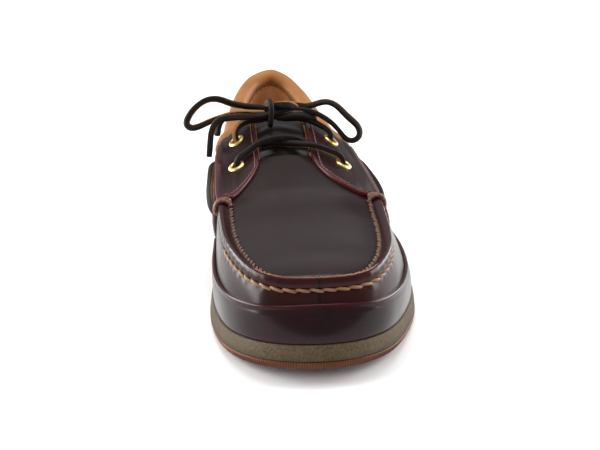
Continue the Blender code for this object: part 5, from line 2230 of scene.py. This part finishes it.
def make_collar_stitches():
    """Rows under and inside the collar roll, and the frill of leather gathered at its heel seam."""
    start = EYESTAY_END + 0.012
    rings = -start - np.linspace(0, 1, 1400) * (2 - 2 * start)
    climb = np.full(len(rings), 0.93)
    path = over_form(rings, climb, STITCH_HEIGHT + 0 * climb)
    normals = form_normal(rings, climb)
    stitch_row("topline_stitches", path, normals, FINE_PITCH, FINE_THREAD, radius=0.26 * MM)
    inner = crest(rings) - outward(rings) * 4.3 * MM - up(9.6 * MM + 0 * rings)
    stitch_row(
        "collar_inner_stitches",
        inner,
        -outward(rings),
        COLLAR_PITCH,
        TAN_THREAD,
        radius=0.27 * MM,
        rise=0.35 * MM,
    )
    rows = -0.80 - np.linspace(0, 1, 500) * 0.40
    drawn = bell(rows, -0.97, 0.06) * np.sin(rows * 210) * 0.9 * MM
    inset = 4.7 * MM + 0.4 * drawn
    frill = crest(rows) - outward(rows) * inset[:, None] - up(7.9 * MM + 0.8 * drawn)
    settle(tube("collar_seam_frill", frill, 0.62 * MM, TAN_LEATHER, flat=0.6), None)


def make_fine_stitches():
    """Machine rows on the eyestays, the quarter and the collar seam."""
    for side in (-1, 1):
        make_eyestay_stitches(side)
        make_quarter_stitches(side)
    make_collar_stitches()


def camera_view():
    """Camera in front of the toe, a little to the medial side and above."""
    azimuth, elevation, roll = (math.radians(angle) for angle in (-5.81, 19.40, -0.35))
    distance = 0.800
    focal_pixels = 1421
    picture_width = 600
    target = Vector((4.7 * MM + AXIS_X, 0.0, 29.7 * MM))
    level_reach = math.cos(elevation)
    away = Vector((math.sin(azimuth) * level_reach, -math.cos(azimuth) * level_reach, math.sin(elevation)))
    right = (-away).cross(Vector((0, 0, 1))).normalized()
    above = right.cross(-away)
    level = right * math.cos(roll) + above * math.sin(roll)
    upright = above * math.cos(roll) - right * math.sin(roll)
    data = bpy.data.cameras.new("camera")
    data.sensor_width = 36.0
    data.lens = focal_pixels * data.sensor_width / picture_width
    data.clip_start = 0.01
    camera = bpy.data.objects.new("camera", data)
    turned = Matrix((level, upright, away)).transposed().to_4x4()
    camera.matrix_world = Matrix.Translation(target + away * distance) @ turned
    bpy.context.scene.collection.objects.link(camera)
    bpy.context.scene.camera = camera


def soft_light(name, place, aim, size, power, glossy=True, diffuse=True):
    """Rectangular light at a place, turned to its aim."""
    data = bpy.data.lights.new(name, "AREA")
    data.shape = "RECTANGLE"
    data.size, data.size_y = size
    data.energy = power
    lamp = bpy.data.objects.new(name, data)
    lamp.visible_glossy = glossy
    lamp.visible_diffuse = diffuse
    lamp.location = place
    lamp.rotation_euler = (Vector(aim) - Vector(place)).to_track_quat("-Z", "Y").to_euler()
    bpy.context.scene.collection.objects.link(lamp)


def studio():
    """Pale floor and plain soft light all round, strongest from above."""
    look = Look("pale_floor")
    look.finish(Base_Color=(0.88, 0.88, 0.875), Roughness=0.9, Specular_IOR_Level=0.1)
    reach = 6.0
    corners = [(-reach, -reach, 0), (reach, -reach, 0), (reach, reach, 0), (-reach, reach, 0)]
    mesh = bpy.data.meshes.new("floor")
    mesh.from_pydata(corners, [], [(0, 1, 2, 3)])
    mesh.materials.append(look.material)
    floor = bpy.data.objects.new("floor", mesh)
    bpy.context.scene.collection.objects.link(floor)
    world = bpy.data.worlds.new("studio")
    world.use_nodes = True
    sky = world.node_tree.nodes["Background"]
    sky.inputs["Color"].default_value = (1, 1, 1, 1)
    sky.inputs["Strength"].default_value = 0.30
    bpy.context.scene.world = world
    soft_light("top_softbox", (0.0, 0.30, 1.30), (0, -0.02, 0.04), (0.9, 0.7), 12.5)
    middle = (0, -0.05, 0.04)
    soft_light("left_softbox", (-1.90, 0.05, 0.90), middle, (1.4, 2.0), 56, glossy=False)
    soft_light("right_softbox", (1.90, 0.05, 0.90), middle, (1.4, 2.0), 48, glossy=False)
    soft_light("front_fill", (-0.2, -1.5, 1.1), (0, -0.1, 0.04), (0.8, 0.6), 9, glossy=False)
    soft_light("left_sheen", (-1.00, 0.36, 0.34), middle, (1.2, 0.66), 32, diffuse=False)
    soft_light("right_sheen", (1.00, 0.36, 0.34), middle, (1.2, 0.66), 24, diffuse=False)
    soft_light("back_sheen", (0.0, 1.30, 0.95), (0, -0.05, 0.05), (1.0, 0.9), 1.6, diffuse=False)
    bpy.context.scene.view_settings.view_transform = "Standard"


camera_view()
make_free_lace()
make_fixed_laces()
make_upper()
make_lining()
make_heel_lining()
make_mudguard()
make_quarter()
make_eyestay("eyestay_medial", -1)
make_eyestay("eyestay_lateral", 1)
make_collar()
make_tongue()
make_outsole()
make_midsole()
make_footbed()
make_eyelets()
make_rim_thread()
make_thread_wraps()
make_raw_edge()
make_fine_stitches()
studio()
